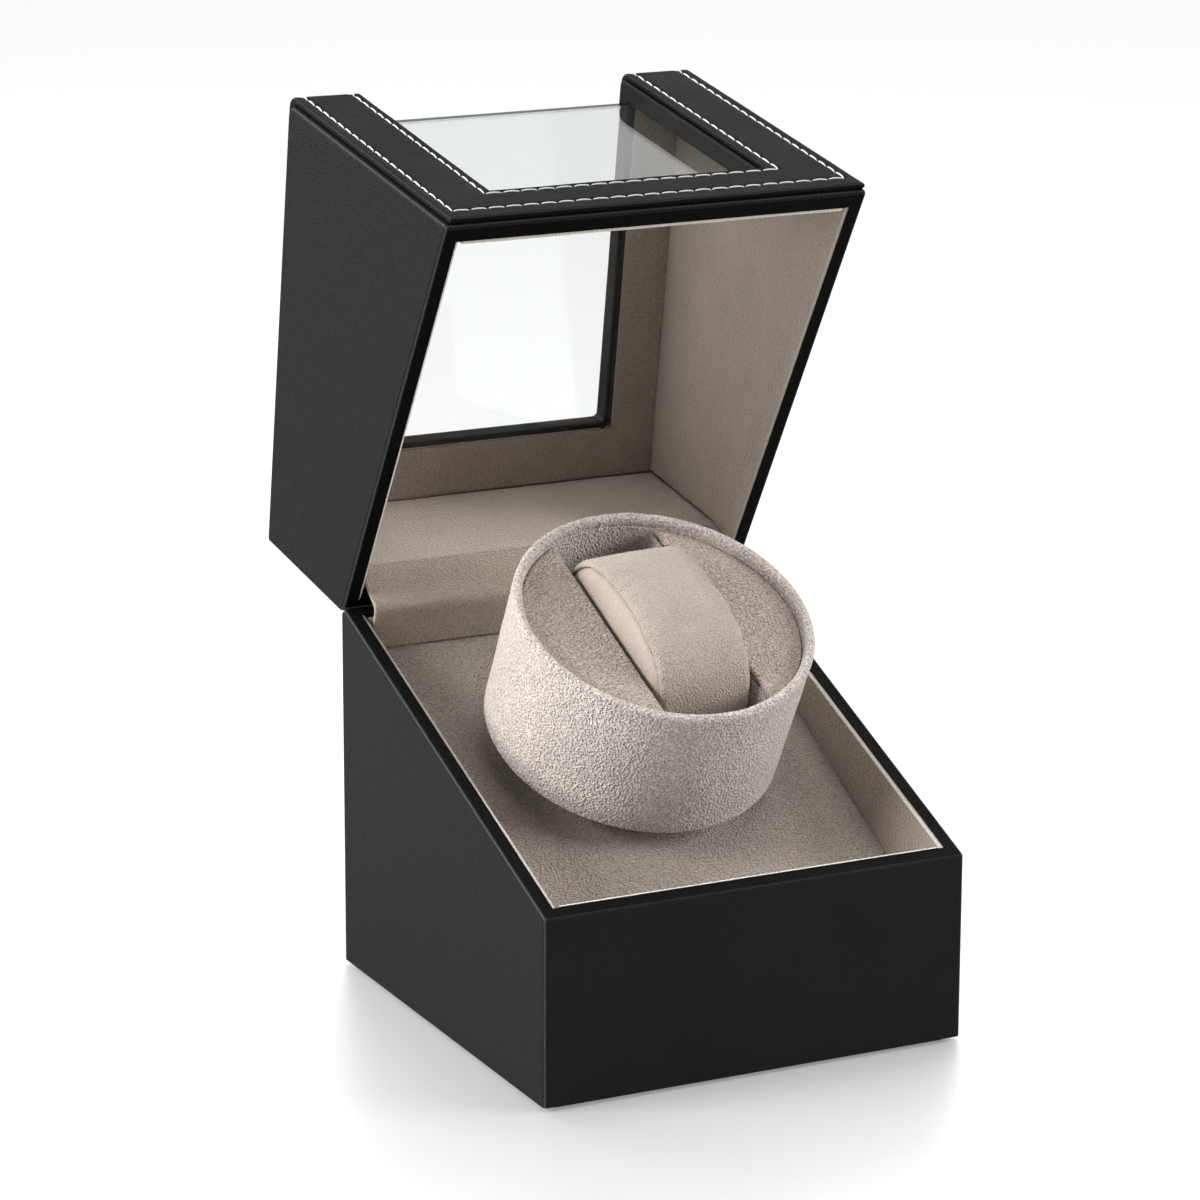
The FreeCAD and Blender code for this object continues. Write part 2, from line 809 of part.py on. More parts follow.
def make_lid_boards():
    outline = inset_outline("skin", lid_rim, lid_bevel, TOP)
    width = "side_wall - skin"
    outer_front = "(%s + skin)" % FRONT
    outer_rear = "(%s - skin)" % REAR
    under_skin = "(%s - skin)" % TOP

    def at_bend(edge):
        middle = edge.CenterOfMass
        level = abs(middle.z - number(under_skin)) < 1e-3
        return along(edge, 0) and level and abs(middle.y - number(outer_front)) < 1e-3

    for name, start in (("lid_left_board", "skin - outer_width / 2"), ("lid_right_board", INSIDE)):
        side = side_slab(name, outline, start, width, LID_OPEN)
        round_edges(side, "lid_edge_radius - skin", at_bend)
        keep(side)
    across = "outer_width - 2 * side_wall"
    front = slab("lid_front_frame", [
        (outer_front, lid_rim(outer_front) + " + skin"),
        (LID_INNER_FRONT, lid_rim(LID_INNER_FRONT) + " + skin"),
        (LID_INNER_FRONT, under_skin),
        (outer_front, under_skin),
    ], across, LID_OPEN)
    round_edges(front, "lid_edge_radius - skin", at_bend)
    cut_slab(front, window_outline(OUTSIDE_FRONT, OUTSIDE_ROOF), "2 * window_half")
    keep(front)
    top = slab("lid_top_frame", rectangle(LID_INNER_FRONT, INNER_TOP, outer_rear, under_skin), across, LID_OPEN)
    cut_slab(top, window_outline(OUTSIDE_FRONT, OUTSIDE_ROOF), "2 * window_half")
    keep(top)
    rear = slab("lid_rear_board", [
        (INNER_REAR, lid_rim(INNER_REAR) + " + skin"),
        (HINGE_Y, lid_rim(HINGE_Y) + " + skin"),
        (outer_rear, lid_bevel(outer_rear) + " + skin"),
        (outer_rear, INNER_TOP),
        (INNER_REAR, INNER_TOP),
    ], across, LID_OPEN)
    cut_down(rear, hinge_notches(), "%s + %s" % (HINGE_Z, NOTCH))
    cut_down(rear, leaf_slots(), "%s + leaf_height" % HINGE_Z)
    keep(rear)


PANE_FRONT = "(%s + pane)" % LID_INNER_FRONT
PANE_TOP = "(%s - pane)" % INNER_TOP
PANE_HALF = "(window_half + pane_ledge)"


def make_panes():
    low = "(%s - pane_ledge)" % WINDOW_BOTTOM
    back = "(%s + pane_ledge)" % WINDOW_REAR
    across = "2 * " + PANE_HALF
    keep(slab("front_pane", rectangle(LID_INNER_FRONT, low, PANE_FRONT, PANE_TOP), across, LID_OPEN))
    keep(slab("top_pane", rectangle(LID_INNER_FRONT, PANE_TOP, back, INNER_TOP), across, LID_OPEN))


def make_lid_linings():
    across = "outer_width - 2 * side_wall"
    between = across + " - 2 * lining"
    pane_hole = [
        (OUTSIDE_FRONT, "(%s - pane_ledge)" % WINDOW_BOTTOM),
        ("(%s + 1)" % PANE_FRONT, "(%s - pane_ledge)" % WINDOW_BOTTOM),
        ("(%s + 1)" % PANE_FRONT, "(%s - 1)" % PANE_TOP),
        ("(%s + pane_ledge)" % WINDOW_REAR, "(%s - 1)" % PANE_TOP),
        ("(%s + pane_ledge)" % WINDOW_REAR, OUTSIDE_ROOF),
        (OUTSIDE_FRONT, OUTSIDE_ROOF),
    ]
    front = slab("lid_front_lining", [
        (LID_INNER_FRONT, lid_rim(LID_INNER_FRONT) + " + lining_drop"),
        (PANE_FRONT, lid_rim(PANE_FRONT) + " + lining_drop"),
        (PANE_FRONT, PANE_TOP),
        (LID_INNER_FRONT, PANE_TOP),
    ], between, LID_OPEN)
    cut_slab(front, pane_hole, "2 * " + PANE_HALF)
    keep(front)
    pad_face = "(%s - rear_pad)" % INNER_REAR
    top = slab("lid_top_lining", rectangle(LID_INNER_FRONT, PANE_TOP, pad_face, INNER_TOP), between, LID_OPEN)
    cut_slab(top, pane_hole, "2 * " + PANE_HALF)
    keep(top)
    sides = slab("lid_side_linings", [
        (LID_INNER_FRONT, lid_rim(LID_INNER_FRONT) + " + lining_drop"),
        (pad_face, lid_rim(pad_face) + " + lining_drop"),
        (pad_face, INNER_TOP),
        (LID_INNER_FRONT, INNER_TOP),
    ], across, LID_OPEN)
    cut_slab(sides, rectangle(FRONT, "0", REAR, TOP), between)
    keep(sides)
    low = "(foot_height + pad_bottom)"
    rear = slab("lid_rear_pad", rectangle(pad_face, low, INNER_REAR, INNER_TOP), across, LID_OPEN)
    face = number(pad_face)
    round_edges(rear, "pad_round",
                lambda edge: along(edge, 0) and abs(edge.CenterOfMass.y - face) < 1e-6
                and abs(edge.CenterOfMass.z - number(low)) < 1e-6)
    keep(rear)


COVER_FRONT = "(%s - cover)" % FRONT
COVER_TOP = "(%s + cover)" % TOP
COVER_REAR = "(%s - cover_inset)" % REAR
COVER_HALF = "(outer_width / 2 - cover_inset)"


def make_cover():
    low = "(foot_height + cover_bottom)"
    body = slab("stitched_cover", [
        (COVER_FRONT, low),
        (FRONT, low),
        (FRONT, TOP),
        (COVER_REAR, TOP),
        (COVER_REAR, COVER_TOP),
        (COVER_FRONT, COVER_TOP),
    ], "2 * " + COVER_HALF, LID_OPEN)
    front = number(FRONT)
    roof = number(TOP)
    thick = number("cover")
    round_edges(body, "lid_edge_radius",
                lambda edge: along(edge, 0) and abs(edge.CenterOfMass.y - front) < 1e-6
                and abs(edge.CenterOfMass.z - roof) < 1e-6)
    round_edges(body, "lid_edge_radius + cover",
                lambda edge: along(edge, 0) and abs(edge.CenterOfMass.y - front + thick) < 1e-6
                and abs(edge.CenterOfMass.z - roof - thick) < 1e-6)
    half = number(COVER_HALF)
    rear = number(COVER_REAR)
    bottom = number(low)
    round_edges(body, "cover_round",
                lambda edge: is_outer_rim(edge, half, rear, bottom, front - thick, roof + thick))
    hole = window_outline(OUTSIDE_FRONT, OUTSIDE_ROOF, "cover_window_margin",
                          "(%s + 0.5)" % FRONT, "(%s - 0.5)" % TOP)
    cut_slab(body, hole, "2 * (window_half + cover_window_margin)")
    return keep(body)


def is_outer_rim(edge, half, rear, bottom, front, roof):
    """Whether an edge bounds the outer face of the cover, so that its fold is rounded."""
    middle = edge.valueAt((edge.FirstParameter + edge.LastParameter) / 2)
    on_side = abs(abs(middle.x) - half) < 1e-6
    on_front = abs(middle.y - front) < 1e-6
    on_roof = abs(middle.z - roof) < 1e-6
    low_edge = on_front and abs(middle.z - bottom) < 1e-6
    rear_edge = on_roof and abs(middle.y - rear) < 1e-6
    arc = on_side and edge.BoundBox.YMin < front + 1e-3 and edge.BoundBox.ZMax > roof - 1e-3
    return (on_side and (on_front or on_roof)) or low_edge or rear_edge or arc


# The two hinges and the suede flap that hides them


def make_leaves(name, direction, where=None):
    """The pair of leaves of the box, direction -1, or of the lid, direction 1."""
    leaves = []
    long_part = "(hinge_width * 0.3)"
    for side, tag in ((-1, "left"), (1, "right")):
        stem = "%s_%s" % (name, tag)
        start = "%d * hinge_x - hinge_width / 2" % side
        low = HINGE_Z if direction > 0 else "%s - leaf_height" % HINGE_Z
        plate = block(stem + "_plate", "hinge_width", "leaf", "leaf_height",
                      place(start, HINGE_Y + " - leaf / 2", low))
        if direction < 0:
            spans = [("0", long_part), ("hinge_width - " + long_part, long_part)]
            gaps = [(long_part, "hinge_width - 2 * " + long_part)]
        else:
            spans = [(long_part + " + knuckle_gap", "hinge_width - 2 * " + long_part + " - 2 * knuckle_gap")]
            gaps = [("0", long_part + " + knuckle_gap"), ("hinge_width - %s - knuckle_gap" % long_part,
                                                          long_part + " + knuckle_gap")]
        reliefs = [
            rod("%s_relief_%d" % (stem, index), "knuckle_radius + hinge_play", length,
                place("%s + %s" % (start, begin), HINGE_Y, HINGE_Z, (0, 1, 0), "90"))
            for index, (begin, length) in enumerate(gaps)
        ]
        knuckles = [
            rod("%s_knuckle_%d" % (stem, index), "knuckle_radius", length,
                place("%s + %s" % (start, begin), HINGE_Y, HINGE_Z, (0, 1, 0), "90"))
            for index, (begin, length) in enumerate(spans)
        ]
        relieved = cut(stem + "_relieved", plate, group(stem + "_reliefs", reliefs))
        solid = joined(stem + "_solid", [relieved] + knuckles)
        play = "hinge_pin_play" if direction > 0 else "0"
        bore = rod(stem + "_bore", "hinge_pin_radius + " + play, "hinge_width + 2",
                   place("%s - 1" % start, HINGE_Y, HINGE_Z, (0, 1, 0), "90"))
        leaves.append(cut(stem, solid, bore))
    return keep(group(name, leaves, where))


def make_hinge_pins():
    pins = [
        rod("hinge_pin_%s" % tag, "hinge_pin_radius", "hinge_width",
            place("%d * hinge_x - hinge_width / 2" % side, HINGE_Y, HINGE_Z, (0, 1, 0), "90"))
        for side, tag in ((-1, "left"), (1, "right"))
    ]
    return keep(group("hinge_pins", pins))


def opened(y, z):
    """Where a point of the shut lid's side outline lies when the lid stands open."""
    across = "(%s - %s)" % (y, HINGE_Y)
    up = "(%s - %s)" % (z, HINGE_Z)
    new_y = "(%s + cos(lid_open) * %s + sin(lid_open) * %s)" % (HINGE_Y, across, up)
    new_z = "(%s - sin(lid_open) * %s + cos(lid_open) * %s)" % (HINGE_Z, across, up)
    return new_y, new_z


def make_hinge_flap():
    """The suede strip from the front of the rear lining, over a soft ridge, to the lid's pad."""
    foot_y = "(%s - rear_lining - flap_gap)" % INNER_REAR
    foot_z = "(%s - lining_drop)" % rim(foot_y)
    end_y, end_z = opened("(%s - rear_pad)" % INNER_REAR, "(foot_height + pad_bottom)")

    def spot(across, up, back="0", down="0"):
        y = "(%s + %s * (%s - %s) + %s)" % (foot_y, across, end_y, foot_y, back)
        z = "(%s + %s * (%s - %s) - %s)" % (foot_z, up, end_z, foot_z, down)
        return y, z

    tuck = "(%s - flap_tuck)" % foot_z
    ridge = "(%s - flap_bulge)" % foot_y
    return keep(slab("hinge_flap", [
        ("(%s - flap)" % foot_y, tuck),
        (foot_y, tuck),
        (foot_y, foot_z),
        ("(%s + flap)" % ridge, "(%s + flap_rise - 0.3 * flap)" % foot_z),
        spot("0.23", "0.52", "0.7 * flap", "0.7 * flap"),
        spot("0.58", "0.80", "0.6 * flap", "0.8 * flap"),
        spot("1", "1", "0 - flap_gap", "pad_round + 0.9 * flap"),
        spot("1", "1", "0 - flap_gap", "pad_round"),
        spot("0.58", "0.80"),
        spot("0.23", "0.52"),
        (ridge, "(%s + flap_rise)" % foot_z),
        ("(%s - flap)" % foot_y, "(%s + 0.35 * flap_rise)" % foot_z),
    ], "outer_width - 2 * side_wall - 2 * lining - 2 * flap_gap"))


# The drum, its hub and the lift-out pillow, drawn about the drum's axis from the tray's surface

SHELL_TOP = "(drum_rim_height - drum_suede)"
INNER_BASE_RADIUS = "(drum_base_radius - 2 * drum_suede - drum_shell_wall)"
FLOOR_TOP = "(drum_base_height + drum_floor)"
FACE_TOP = "(drum_rim_height - face_recess)"


def drum_outer(height, gap="0"):
    """The drum's outer radius at a height, less a gap."""
    share = "(%s - drum_base_height) / (drum_rim_height - drum_base_height)" % height
    return "(drum_base_radius + (drum_radius - drum_base_radius) * %s - %s)" % (share, gap)


def make_drum():
    wall = "(drum_suede + drum_shell_wall)"
    shell = spun("drum_shell", [
        ("shaft_radius", "drum_base_height"),
        (drum_outer("drum_base_height", "drum_suede"), "drum_base_height"),
        (drum_outer(SHELL_TOP, "drum_suede"), SHELL_TOP),
        (drum_outer(SHELL_TOP, wall), SHELL_TOP),
        (drum_outer(FLOOR_TOP, wall), FLOOR_TOP),
        ("shaft_radius", FLOOR_TOP),
    ])
    holes = new_sketch(shell, "XY_Plane", "drum_base_height")
    for x, y in hub_screw_places():
        draw_circle(holes, x, y, "hub_screw_radius")
    pocket(shell, holes, "drum_floor", forward=True)
    keep(settle(shell, "drum_shell", ON_DRUM))

    fold = "(drum_rim_height - drum_rim_fold)"
    total = "(2 * drum_suede + drum_shell_wall)"
    wrap = spun("drum_wrap", [
        (drum_outer("drum_base_height", "drum_suede"), "drum_base_height"),
        ("drum_base_radius", "drum_base_height"),
        ("drum_radius", "drum_rim_height"),
        (drum_outer("drum_rim_height", total), "drum_rim_height"),
        (drum_outer(fold, total), fold),
        (drum_outer(fold, wall), fold),
        (drum_outer(SHELL_TOP, wall), SHELL_TOP),
        (drum_outer(SHELL_TOP, "drum_suede"), SHELL_TOP),
    ])
    high = number("drum_rim_height")
    round_edges(wrap, "drum_round", lambda edge: abs(edge.BoundBox.ZMin - high) < 1e-6)
    keep(settle(wrap, "drum_wrap", ON_DRUM))

    faces = new_body("drum_faces")
    disc = new_sketch(faces, "XY_Plane", FACE_TOP + " - face_plate")
    draw_circle(disc, "0", "0", "%s - face_play" % drum_outer(FACE_TOP, total))
    pad(faces, disc, "face_plate")
    middle = rectangle("0 - slot_width / 2", "0 - drum_radius", "slot_width / 2", "drum_radius")
    cut_down(faces, [middle], FACE_TOP)
    keep(settle(faces, "drum_faces", ON_DRUM))

    liner = new_body("drum_slot_liner")
    outer = "(slot_width / 2 + slot_wall)"
    chord = "sqrt(pow(%s - face_play; 2) - pow(%s; 2))" % (INNER_BASE_RADIUS, outer)
    under = new_sketch(liner, "XY_Plane", "slot_floor_height - slot_wall")
    draw_polygon(under, rectangle("0 - " + outer, "0 - " + chord, outer, chord))
    pad(liner, under, "%s - face_plate - slot_floor_height + slot_wall" % FACE_TOP)
    hollow = rectangle("0 - slot_width / 2", "0 - drum_radius", "slot_width / 2", "drum_radius")
    cut_down(liner, [hollow], "slot_floor_height", forward=True)
    keep(settle(liner, "drum_slot_liner", ON_DRUM))


def hub_screw_places():
    """Where the three screws of the hub stand, on the drum's own plane."""
    return [
        ("hub_screw_circle * cos(%d)" % angle, "hub_screw_circle * sin(%d)" % angle)
        for angle in (90, 210, 330)
    ]


PLATE_TOP = "(0 - tray_lining - tray_board)"
SPACE_TOP = "(0 - tray_lining - tray_board - gear_plate)"
SPACE_BOTTOM = "(%s - gear_space)" % SPACE_TOP
PLATE_BOTTOM = "(%s - gear_plate)" % SPACE_BOTTOM
BUSH_TOP = "(%s + bush_flange)" % PLATE_TOP


def make_hub():
    flange = "(drum_base_height - hub_flange)"
    hub = spun("drum_hub", [
        ("shaft_radius", BUSH_TOP + " + thrust_gap"),
        ("hub_boss_radius", BUSH_TOP + " + thrust_gap"),
        ("hub_boss_radius", flange),
        ("hub_radius", flange),
        ("hub_radius", "drum_base_height"),
        ("shaft_radius", "drum_base_height"),
    ])
    holes = new_sketch(hub, "XY_Plane", flange)
    for x, y in hub_screw_places():
        draw_circle(holes, x, y, "hub_screw_radius")
    pocket(hub, holes, "hub_flange", forward=True)
    keep(settle(hub, "drum_hub", ON_DRUM))
    screws = []
    for index, (x, y) in enumerate(hub_screw_places()):
        head = rod("hub_head_%d" % index, "hub_screw_head", "1.3", place(x, y, flange + " - 1.3"))
        shank = rod("hub_shank_%d" % index, "hub_screw_radius", "hub_flange + drum_floor", place(x, y, flange))
        screws.append(joined("hub_screw_%d" % index, [head, shank]))
    keep(group("hub_screws", screws, ON_DRUM))


PILLOW_MIDDLE = "(slot_floor_height + pillow_seat_gap + pillow_height / 2)"


def oval(name, inset, station):
    """The pillow's outline, drawn in by an inset: two end arcs that two long flat arcs join."""
    half_length = "(pillow_length / 2 - %s)" % inset
    half_height = "(pillow_height / 2 - %s)" % inset
    end = "(pillow_end_radius - %s)" % inset
    long_arc = "((pow(%s - %s; 2) + pow(%s; 2) - pow(%s; 2)) / (2 * (%s - %s)))" % (
        half_length, end, half_height, end, half_height, end)
    sketch = doc.addObject("Sketcher::SketchObject", name)
    reach = number("%s - %s" % (half_length, end))
    drop = number("%s - %s" % (half_height, long_arc))
    small = number(end)
    large = number(long_arc)
    lean = math.atan2(-drop, reach)
    up = math.pi / 2
    axis = Vector(0, 0, 1)
    for centre, radius, start, stop in (
        (Vector(reach, 0, 0), small, -lean, lean),
        (Vector(0, drop, 0), large, lean, 2 * up - lean),
        (Vector(-reach, 0, 0), small, 2 * up - lean, 2 * up + lean),
        (Vector(0, -drop, 0), large, 2 * up + lean, 4 * up - lean),
    ):
        sketch.addGeometry(Part.ArcOfCircle(Part.Circle(centre, axis, radius), start, stop))
    for here in range(4):
        sketch.addConstraint(Sketcher.Constraint("Tangent", here, 2, (here + 1) % 4, 1))
    for arc, side in ((0, "1"), (2, "-1")):
        bind(sketch, "DistanceX", arc, 3, "%s * (%s - %s)" % (side, half_length, end))
        sketch.addConstraint(Sketcher.Constraint("PointOnObject", arc, 3, -1))
        size = sketch.addConstraint(Sketcher.Constraint("Radius", arc, small))
        sketch.setExpression("Constraints[%d]" % size, bound(end))
    for arc in (1, 3):
        size = sketch.addConstraint(Sketcher.Constraint("Radius", arc, large))
        sketch.setExpression("Constraints[%d]" % size, bound(long_arc))
    where = "placement(vector(%s; 0; %s); rotation(vector(1; 1; 1); 120))" % (station, PILLOW_MIDDLE)
    sketch.setExpression("Placement", bound(where))
    return sketch


def swell(name, stations):
    """A solid through pillow outlines, each drawn in by its own inset at its own place along X."""
    loft = doc.addObject("Part::Loft", name)
    loft.Sections = [
        oval("%s_outline_%d" % (name, index), inset, station)
        for index, (inset, station) in enumerate(stations)
    ]
    loft.Solid = True
    loft.Ruled = False
    doc.recompute()
    return loft


def make_pillow():
    seam = "(pillow_width / 2 - pillow_cheek)"
    full = [("pillow_crown", "0 - " + seam), ("0", "0"), ("pillow_crown", seam)]
    inner = [("(pillow_crown + pillow_band)", "0 - " + seam), ("pillow_band", "0"),
             ("(pillow_crown + pillow_band)", seam)]
    keep(settle(swell("pillow_core", inner), "pillow_core", ON_DRUM))
    outer = swell("pillow_outside", full)
    hollow = swell("pillow_hollow", inner)
    keep(cut("pillow_band", outer, hollow, ON_DRUM))
    cheeks = [
        swell("pillow_cheek_%s" % tag, [
            ("pillow_crown", "%d * %s" % (side, seam)),
            ("(pillow_crown + pillow_cheek)", "%d * pillow_width / 2" % side),
        ])
        for side, tag in ((-1, "left"), (1, "right"))
    ]
    keep(group("pillow_cheeks", cheeks, ON_DRUM))


# The drive under the tray: two plates, a motor, a compound gear and the output gear


def involute(angle):
    return math.tan(angle) - angle


def gear_face(teeth, module, tip, backlash, phase):
    """The flat face of a spur gear, a tooth centred on the phase angle, with involute flanks."""
    pitch = teeth * module / 2
    base = pitch * math.cos(math.radians(20))
    root = pitch - 1.25 * module
    half = math.pi / (2 * teeth) - backlash / (2 * pitch) + involute(math.radians(20))

    def flank(radius):
        if radius <= base:
            return half
        return half - involute(math.acos(base / radius))

    def at(radius, angle):
        return Vector(radius * math.cos(angle), radius * math.sin(angle), 0)

    edges = []
    step = 2 * math.pi / teeth
    for tooth in range(int(teeth)):
        middle = phase + tooth * step
        start = max(root, base)
        halfway = (start + tip) / 2
        low, mid, high = flank(start), flank(halfway), flank(tip)
        if root < start:
            edges.append(Part.LineSegment(at(root, middle - low), at(start, middle - low)))
        edges.append(Part.Arc(at(start, middle - low), at(halfway, middle - mid), at(tip, middle - high)))
        edges.append(Part.Arc(at(tip, middle - high), at(tip, middle), at(tip, middle + high)))
        edges.append(Part.Arc(at(tip, middle + high), at(halfway, middle + mid), at(start, middle + low)))
        if root < start:
            edges.append(Part.LineSegment(at(start, middle + low), at(root, middle + low)))
        following = middle + step
        edges.append(Part.Arc(at(root, middle + low), at(root, middle + step / 2), at(root, following - low)))
    return Part.Face(Part.Wire([edge.toShape() for edge in edges]))


def gear(teeth, addendum, thickness, level, phase=0.0):
    """A spur gear blank with its teeth cut, its lower face at a level."""
    module = number("gear_module")
    count = number(teeth)
    tip = count * module / 2 + addendum * module
    face = gear_face(count, module, tip, number("backlash"), phase)
    solid = face.extrude(Vector(0, 0, number(thickness)))
    solid.translate(Vector(0, 0, number(level)))
    return solid


def disc(radius, low, high):
    return Part.makeCylinder(number(radius), number(high) - number(low), Vector(0, 0, number(low)))


def feature(label, shape, where):
    """A sub-part whose shape is set in code, put in its place by a formula."""
    item = doc.addObject("Part::Feature", label)
    item.Shape = shape
    return keep(settle(item, label, where))


WHEEL_ADDENDUM = 0.6
PINION_ADDENDUM = 1.0
COMPOUND_X = "(0 - gear_module * (output_teeth + compound_pinion_teeth) / 2)"
MOTOR_Y = "(0 - gear_module * (compound_wheel_teeth + motor_pinion_teeth) / 2)"
AT_COMPOUND = ON_TRAY + " * " + place(COMPOUND_X, "0", "0")
AT_MOTOR = ON_TRAY + " * " + place(COMPOUND_X, MOTOR_Y, "0")


def make_gears():
    low = "(%s + output_gear_lift)" % SPACE_BOTTOM
    high = "(%s + output_gear)" % low
    boss = "(%s + output_gear_boss)" % high
    output = gear("output_teeth", WHEEL_ADDENDUM, "output_gear", low)
    output = output.fuse(disc("output_gear_boss_radius", high, boss))
    output = output.cut(disc("shaft_radius", low, boss)).removeSplitter()
    feature("output_gear", output, ON_TRAY)

    low = "(%s + compound_lift)" % SPACE_BOTTOM
    wheel = "(%s + compound_wheel_lift)" % SPACE_BOTTOM
    top = "(%s + compound_wheel)" % wheel
    pinion = gear("compound_pinion_teeth", PINION_ADDENDUM, "compound_pinion", low,
                  math.pi / number("compound_pinion_teeth"))
    neck = disc("gear_module * (compound_pinion_teeth / 2 - 1.25)", "(%s + compound_pinion)" % low, wheel)
    cluster = gear("compound_wheel_teeth", WHEEL_ADDENDUM, "compound_wheel", wheel)
    cluster = cluster.fuse([pinion, neck])
    cluster = cluster.cut(disc("idler_pin_radius + shaft_play", low, top)).removeSplitter()
    feature("compound_gear", cluster, AT_COMPOUND)

    low = "(%s + motor_pinion_lift)" % SPACE_BOTTOM
    top = "(%s + motor_pinion_length)" % low
    small = gear("motor_pinion_teeth", PINION_ADDENDUM, "motor_pinion_length", low)
    small = small.cut(disc("motor_shaft_radius", low, top)).removeSplitter()
    feature("motor_pinion", small, AT_MOTOR)


def plate_outline():
    return rectangle("0 - plate_left", "0 - plate_front", "plate_right", "plate_back")


def make_drive():
    top = new_body("gear_top_plate")
    sketch = new_sketch(top, "XY_Plane", SPACE_TOP)
    draw_polygon(sketch, plate_outline())
    draw_circle(sketch, "0", "0", "bush_radius")
    draw_circle(sketch, COMPOUND_X, "0", "idler_pin_radius")
    for x, y in drive_screw_places():
        draw_circle(sketch, x, y, "drive_screw_radius")
    pad(top, sketch, "gear_plate")
    keep(settle(top, "gear_top_plate", ON_TRAY))

    bottom = new_body("gear_bottom_plate")
    sketch = new_sketch(bottom, "XY_Plane", PLATE_BOTTOM)
    draw_polygon(sketch, plate_outline())
    pad(bottom, sketch, "gear_plate")
    posts = new_sketch(bottom, "XY_Plane", SPACE_BOTTOM)
    for x, y in drive_screw_places():
        draw_circle(posts, x, y, "post_radius")
    pad(bottom, posts, "gear_space")
    holes = new_sketch(bottom, "XY_Plane", PLATE_BOTTOM)
    draw_circle(holes, "0", "0", "shaft_radius + shaft_play")
    draw_circle(holes, COMPOUND_X, "0", "idler_pin_radius")
    draw_circle(holes, COMPOUND_X, MOTOR_Y, "motor_boss_radius")
    for x, y in drive_screw_places():
        draw_circle(holes, x, y, "drive_screw_radius")
    for side in (-1, 1):
        draw_circle(holes, "%s + %d * motor_screw_spread" % (COMPOUND_X, side), MOTOR_Y, "motor_screw_radius")
    pocket(bottom, holes, forward=True)
    keep(settle(bottom, "gear_bottom_plate", ON_TRAY))

    screws = []
    reach = "gear_space + 2 * gear_plate + drive_screw_bite"
    for index, (x, y) in enumerate(drive_screw_places()):
        head = rod("drive_head_%d" % index, "drive_screw_head", "1.6", place(x, y, PLATE_BOTTOM + " - 1.6"))
        shank = rod("drive_shank_%d" % index, "drive_screw_radius", reach, place(x, y, PLATE_BOTTOM))
        screws.append(joined("drive_screw_%d" % index, [head, shank]))
    for side in (-1, 1):
        tag = "left" if side < 0 else "right"
        x = "%s + %d * motor_screw_spread" % (COMPOUND_X, side)
        head = rod("motor_head_" + tag, "2 * motor_screw_radius", "1.1", place(x, MOTOR_Y, SPACE_BOTTOM))
        shank = rod("motor_shank_" + tag, "motor_screw_radius", "gear_plate + motor_screw_bite",
                    place(x, MOTOR_Y, PLATE_BOTTOM + " - motor_screw_bite"))
        screws.append(joined("motor_screw_" + tag, [head, shank]))
    keep(group("drive_screws", screws, ON_TRAY))

    keep(spun("shaft_bush", [
        ("shaft_radius + shaft_play", SPACE_TOP),
        ("bush_radius", SPACE_TOP),
        ("bush_radius", PLATE_TOP),
        ("bush_flange_radius", PLATE_TOP),
        ("bush_flange_radius", BUSH_TOP),
        ("shaft_radius + shaft_play", BUSH_TOP),
    ], ON_TRAY))
    shaft_low = "(%s - shaft_overhang)" % PLATE_BOTTOM
    groove = "(%s - clip_gap - clip)" % PLATE_BOTTOM
    groove_top = "(%s - clip_gap)" % PLATE_BOTTOM
    keep(spun("drive_shaft", [
        ("0", shaft_low),
        ("shaft_radius", shaft_low),
        ("shaft_radius", groove),
        ("shaft_radius * 0.8", groove),
        ("shaft_radius * 0.8", groove_top),
        ("shaft_radius", groove_top),
        ("shaft_radius", FLOOR_TOP),
        ("0", FLOOR_TOP),
    ], ON_DRUM))
    keep(spun("shaft_clip", [
        ("shaft_radius * 0.8", groove),
        ("clip_radius", groove),
        ("clip_radius", groove_top),
        ("shaft_radius * 0.8", groove_top),
    ], ON_DRUM))
    keep(settle(rod("idler_pin", "idler_pin_radius", "2 * gear_plate + gear_space",
                    AT_COMPOUND + " * " + place("0", "0", PLATE_BOTTOM)), "idler_pin"))


def make_motor():
    low = "(%s - motor_length)" % PLATE_BOTTOM
    can = spun("motor_can", [
        ("motor_shaft_radius + shaft_play", PLATE_BOTTOM),
        ("motor_shaft_radius + shaft_play", SPACE_BOTTOM),
        ("motor_boss_radius", SPACE_BOTTOM),
        ("motor_boss_radius", PLATE_BOTTOM),
        ("motor_radius", PLATE_BOTTOM),
        ("motor_radius", low),
        ("0", low),
        ("0", PLATE_BOTTOM + " - 3"),
        ("motor_shaft_radius + shaft_play", PLATE_BOTTOM + " - 3"),
    ])
    holes = new_sketch(can, "XY_Plane", PLATE_BOTTOM)
    for side in (-1, 1):
        draw_circle(holes, "%d * motor_screw_spread" % side, "0", "motor_screw_radius")
    pocket(can, holes, "motor_screw_bite")
    keep(settle(can, "motor_can", AT_MOTOR))
    pinion_top = "(%s + motor_pinion_lift + motor_pinion_length)" % SPACE_BOTTOM
    start = "(%s - 2.5)" % PLATE_BOTTOM
    keep(settle(rod("motor_shaft", "motor_shaft_radius", pinion_top + " - " + start,
                    AT_MOTOR + " * " + place("0", "0", start)), "motor_shaft"))


# The controls in the rear wall: a panel with a mode knob, a rocker and a power socket

PANEL_OUT = "(%s + panel)" % REAR
CIRCUIT_FACE = "(%s - circuit_depth)" % REAR
KNOB_X = "(knob_margin - panel_width / 2)"
JACK_X = "(panel_width / 2 - jack_margin)"
ROCKER_X = "((%s + switch_side / 2 + %s - jack_side / 2) / 2)" % (KNOB_X, JACK_X)
POST_X = "(panel_width / 2 - panel_lap - panel_post_radius - panel_post_margin)"
PIVOT_Y = "(%s - rocker_pivot_depth)" % REAR


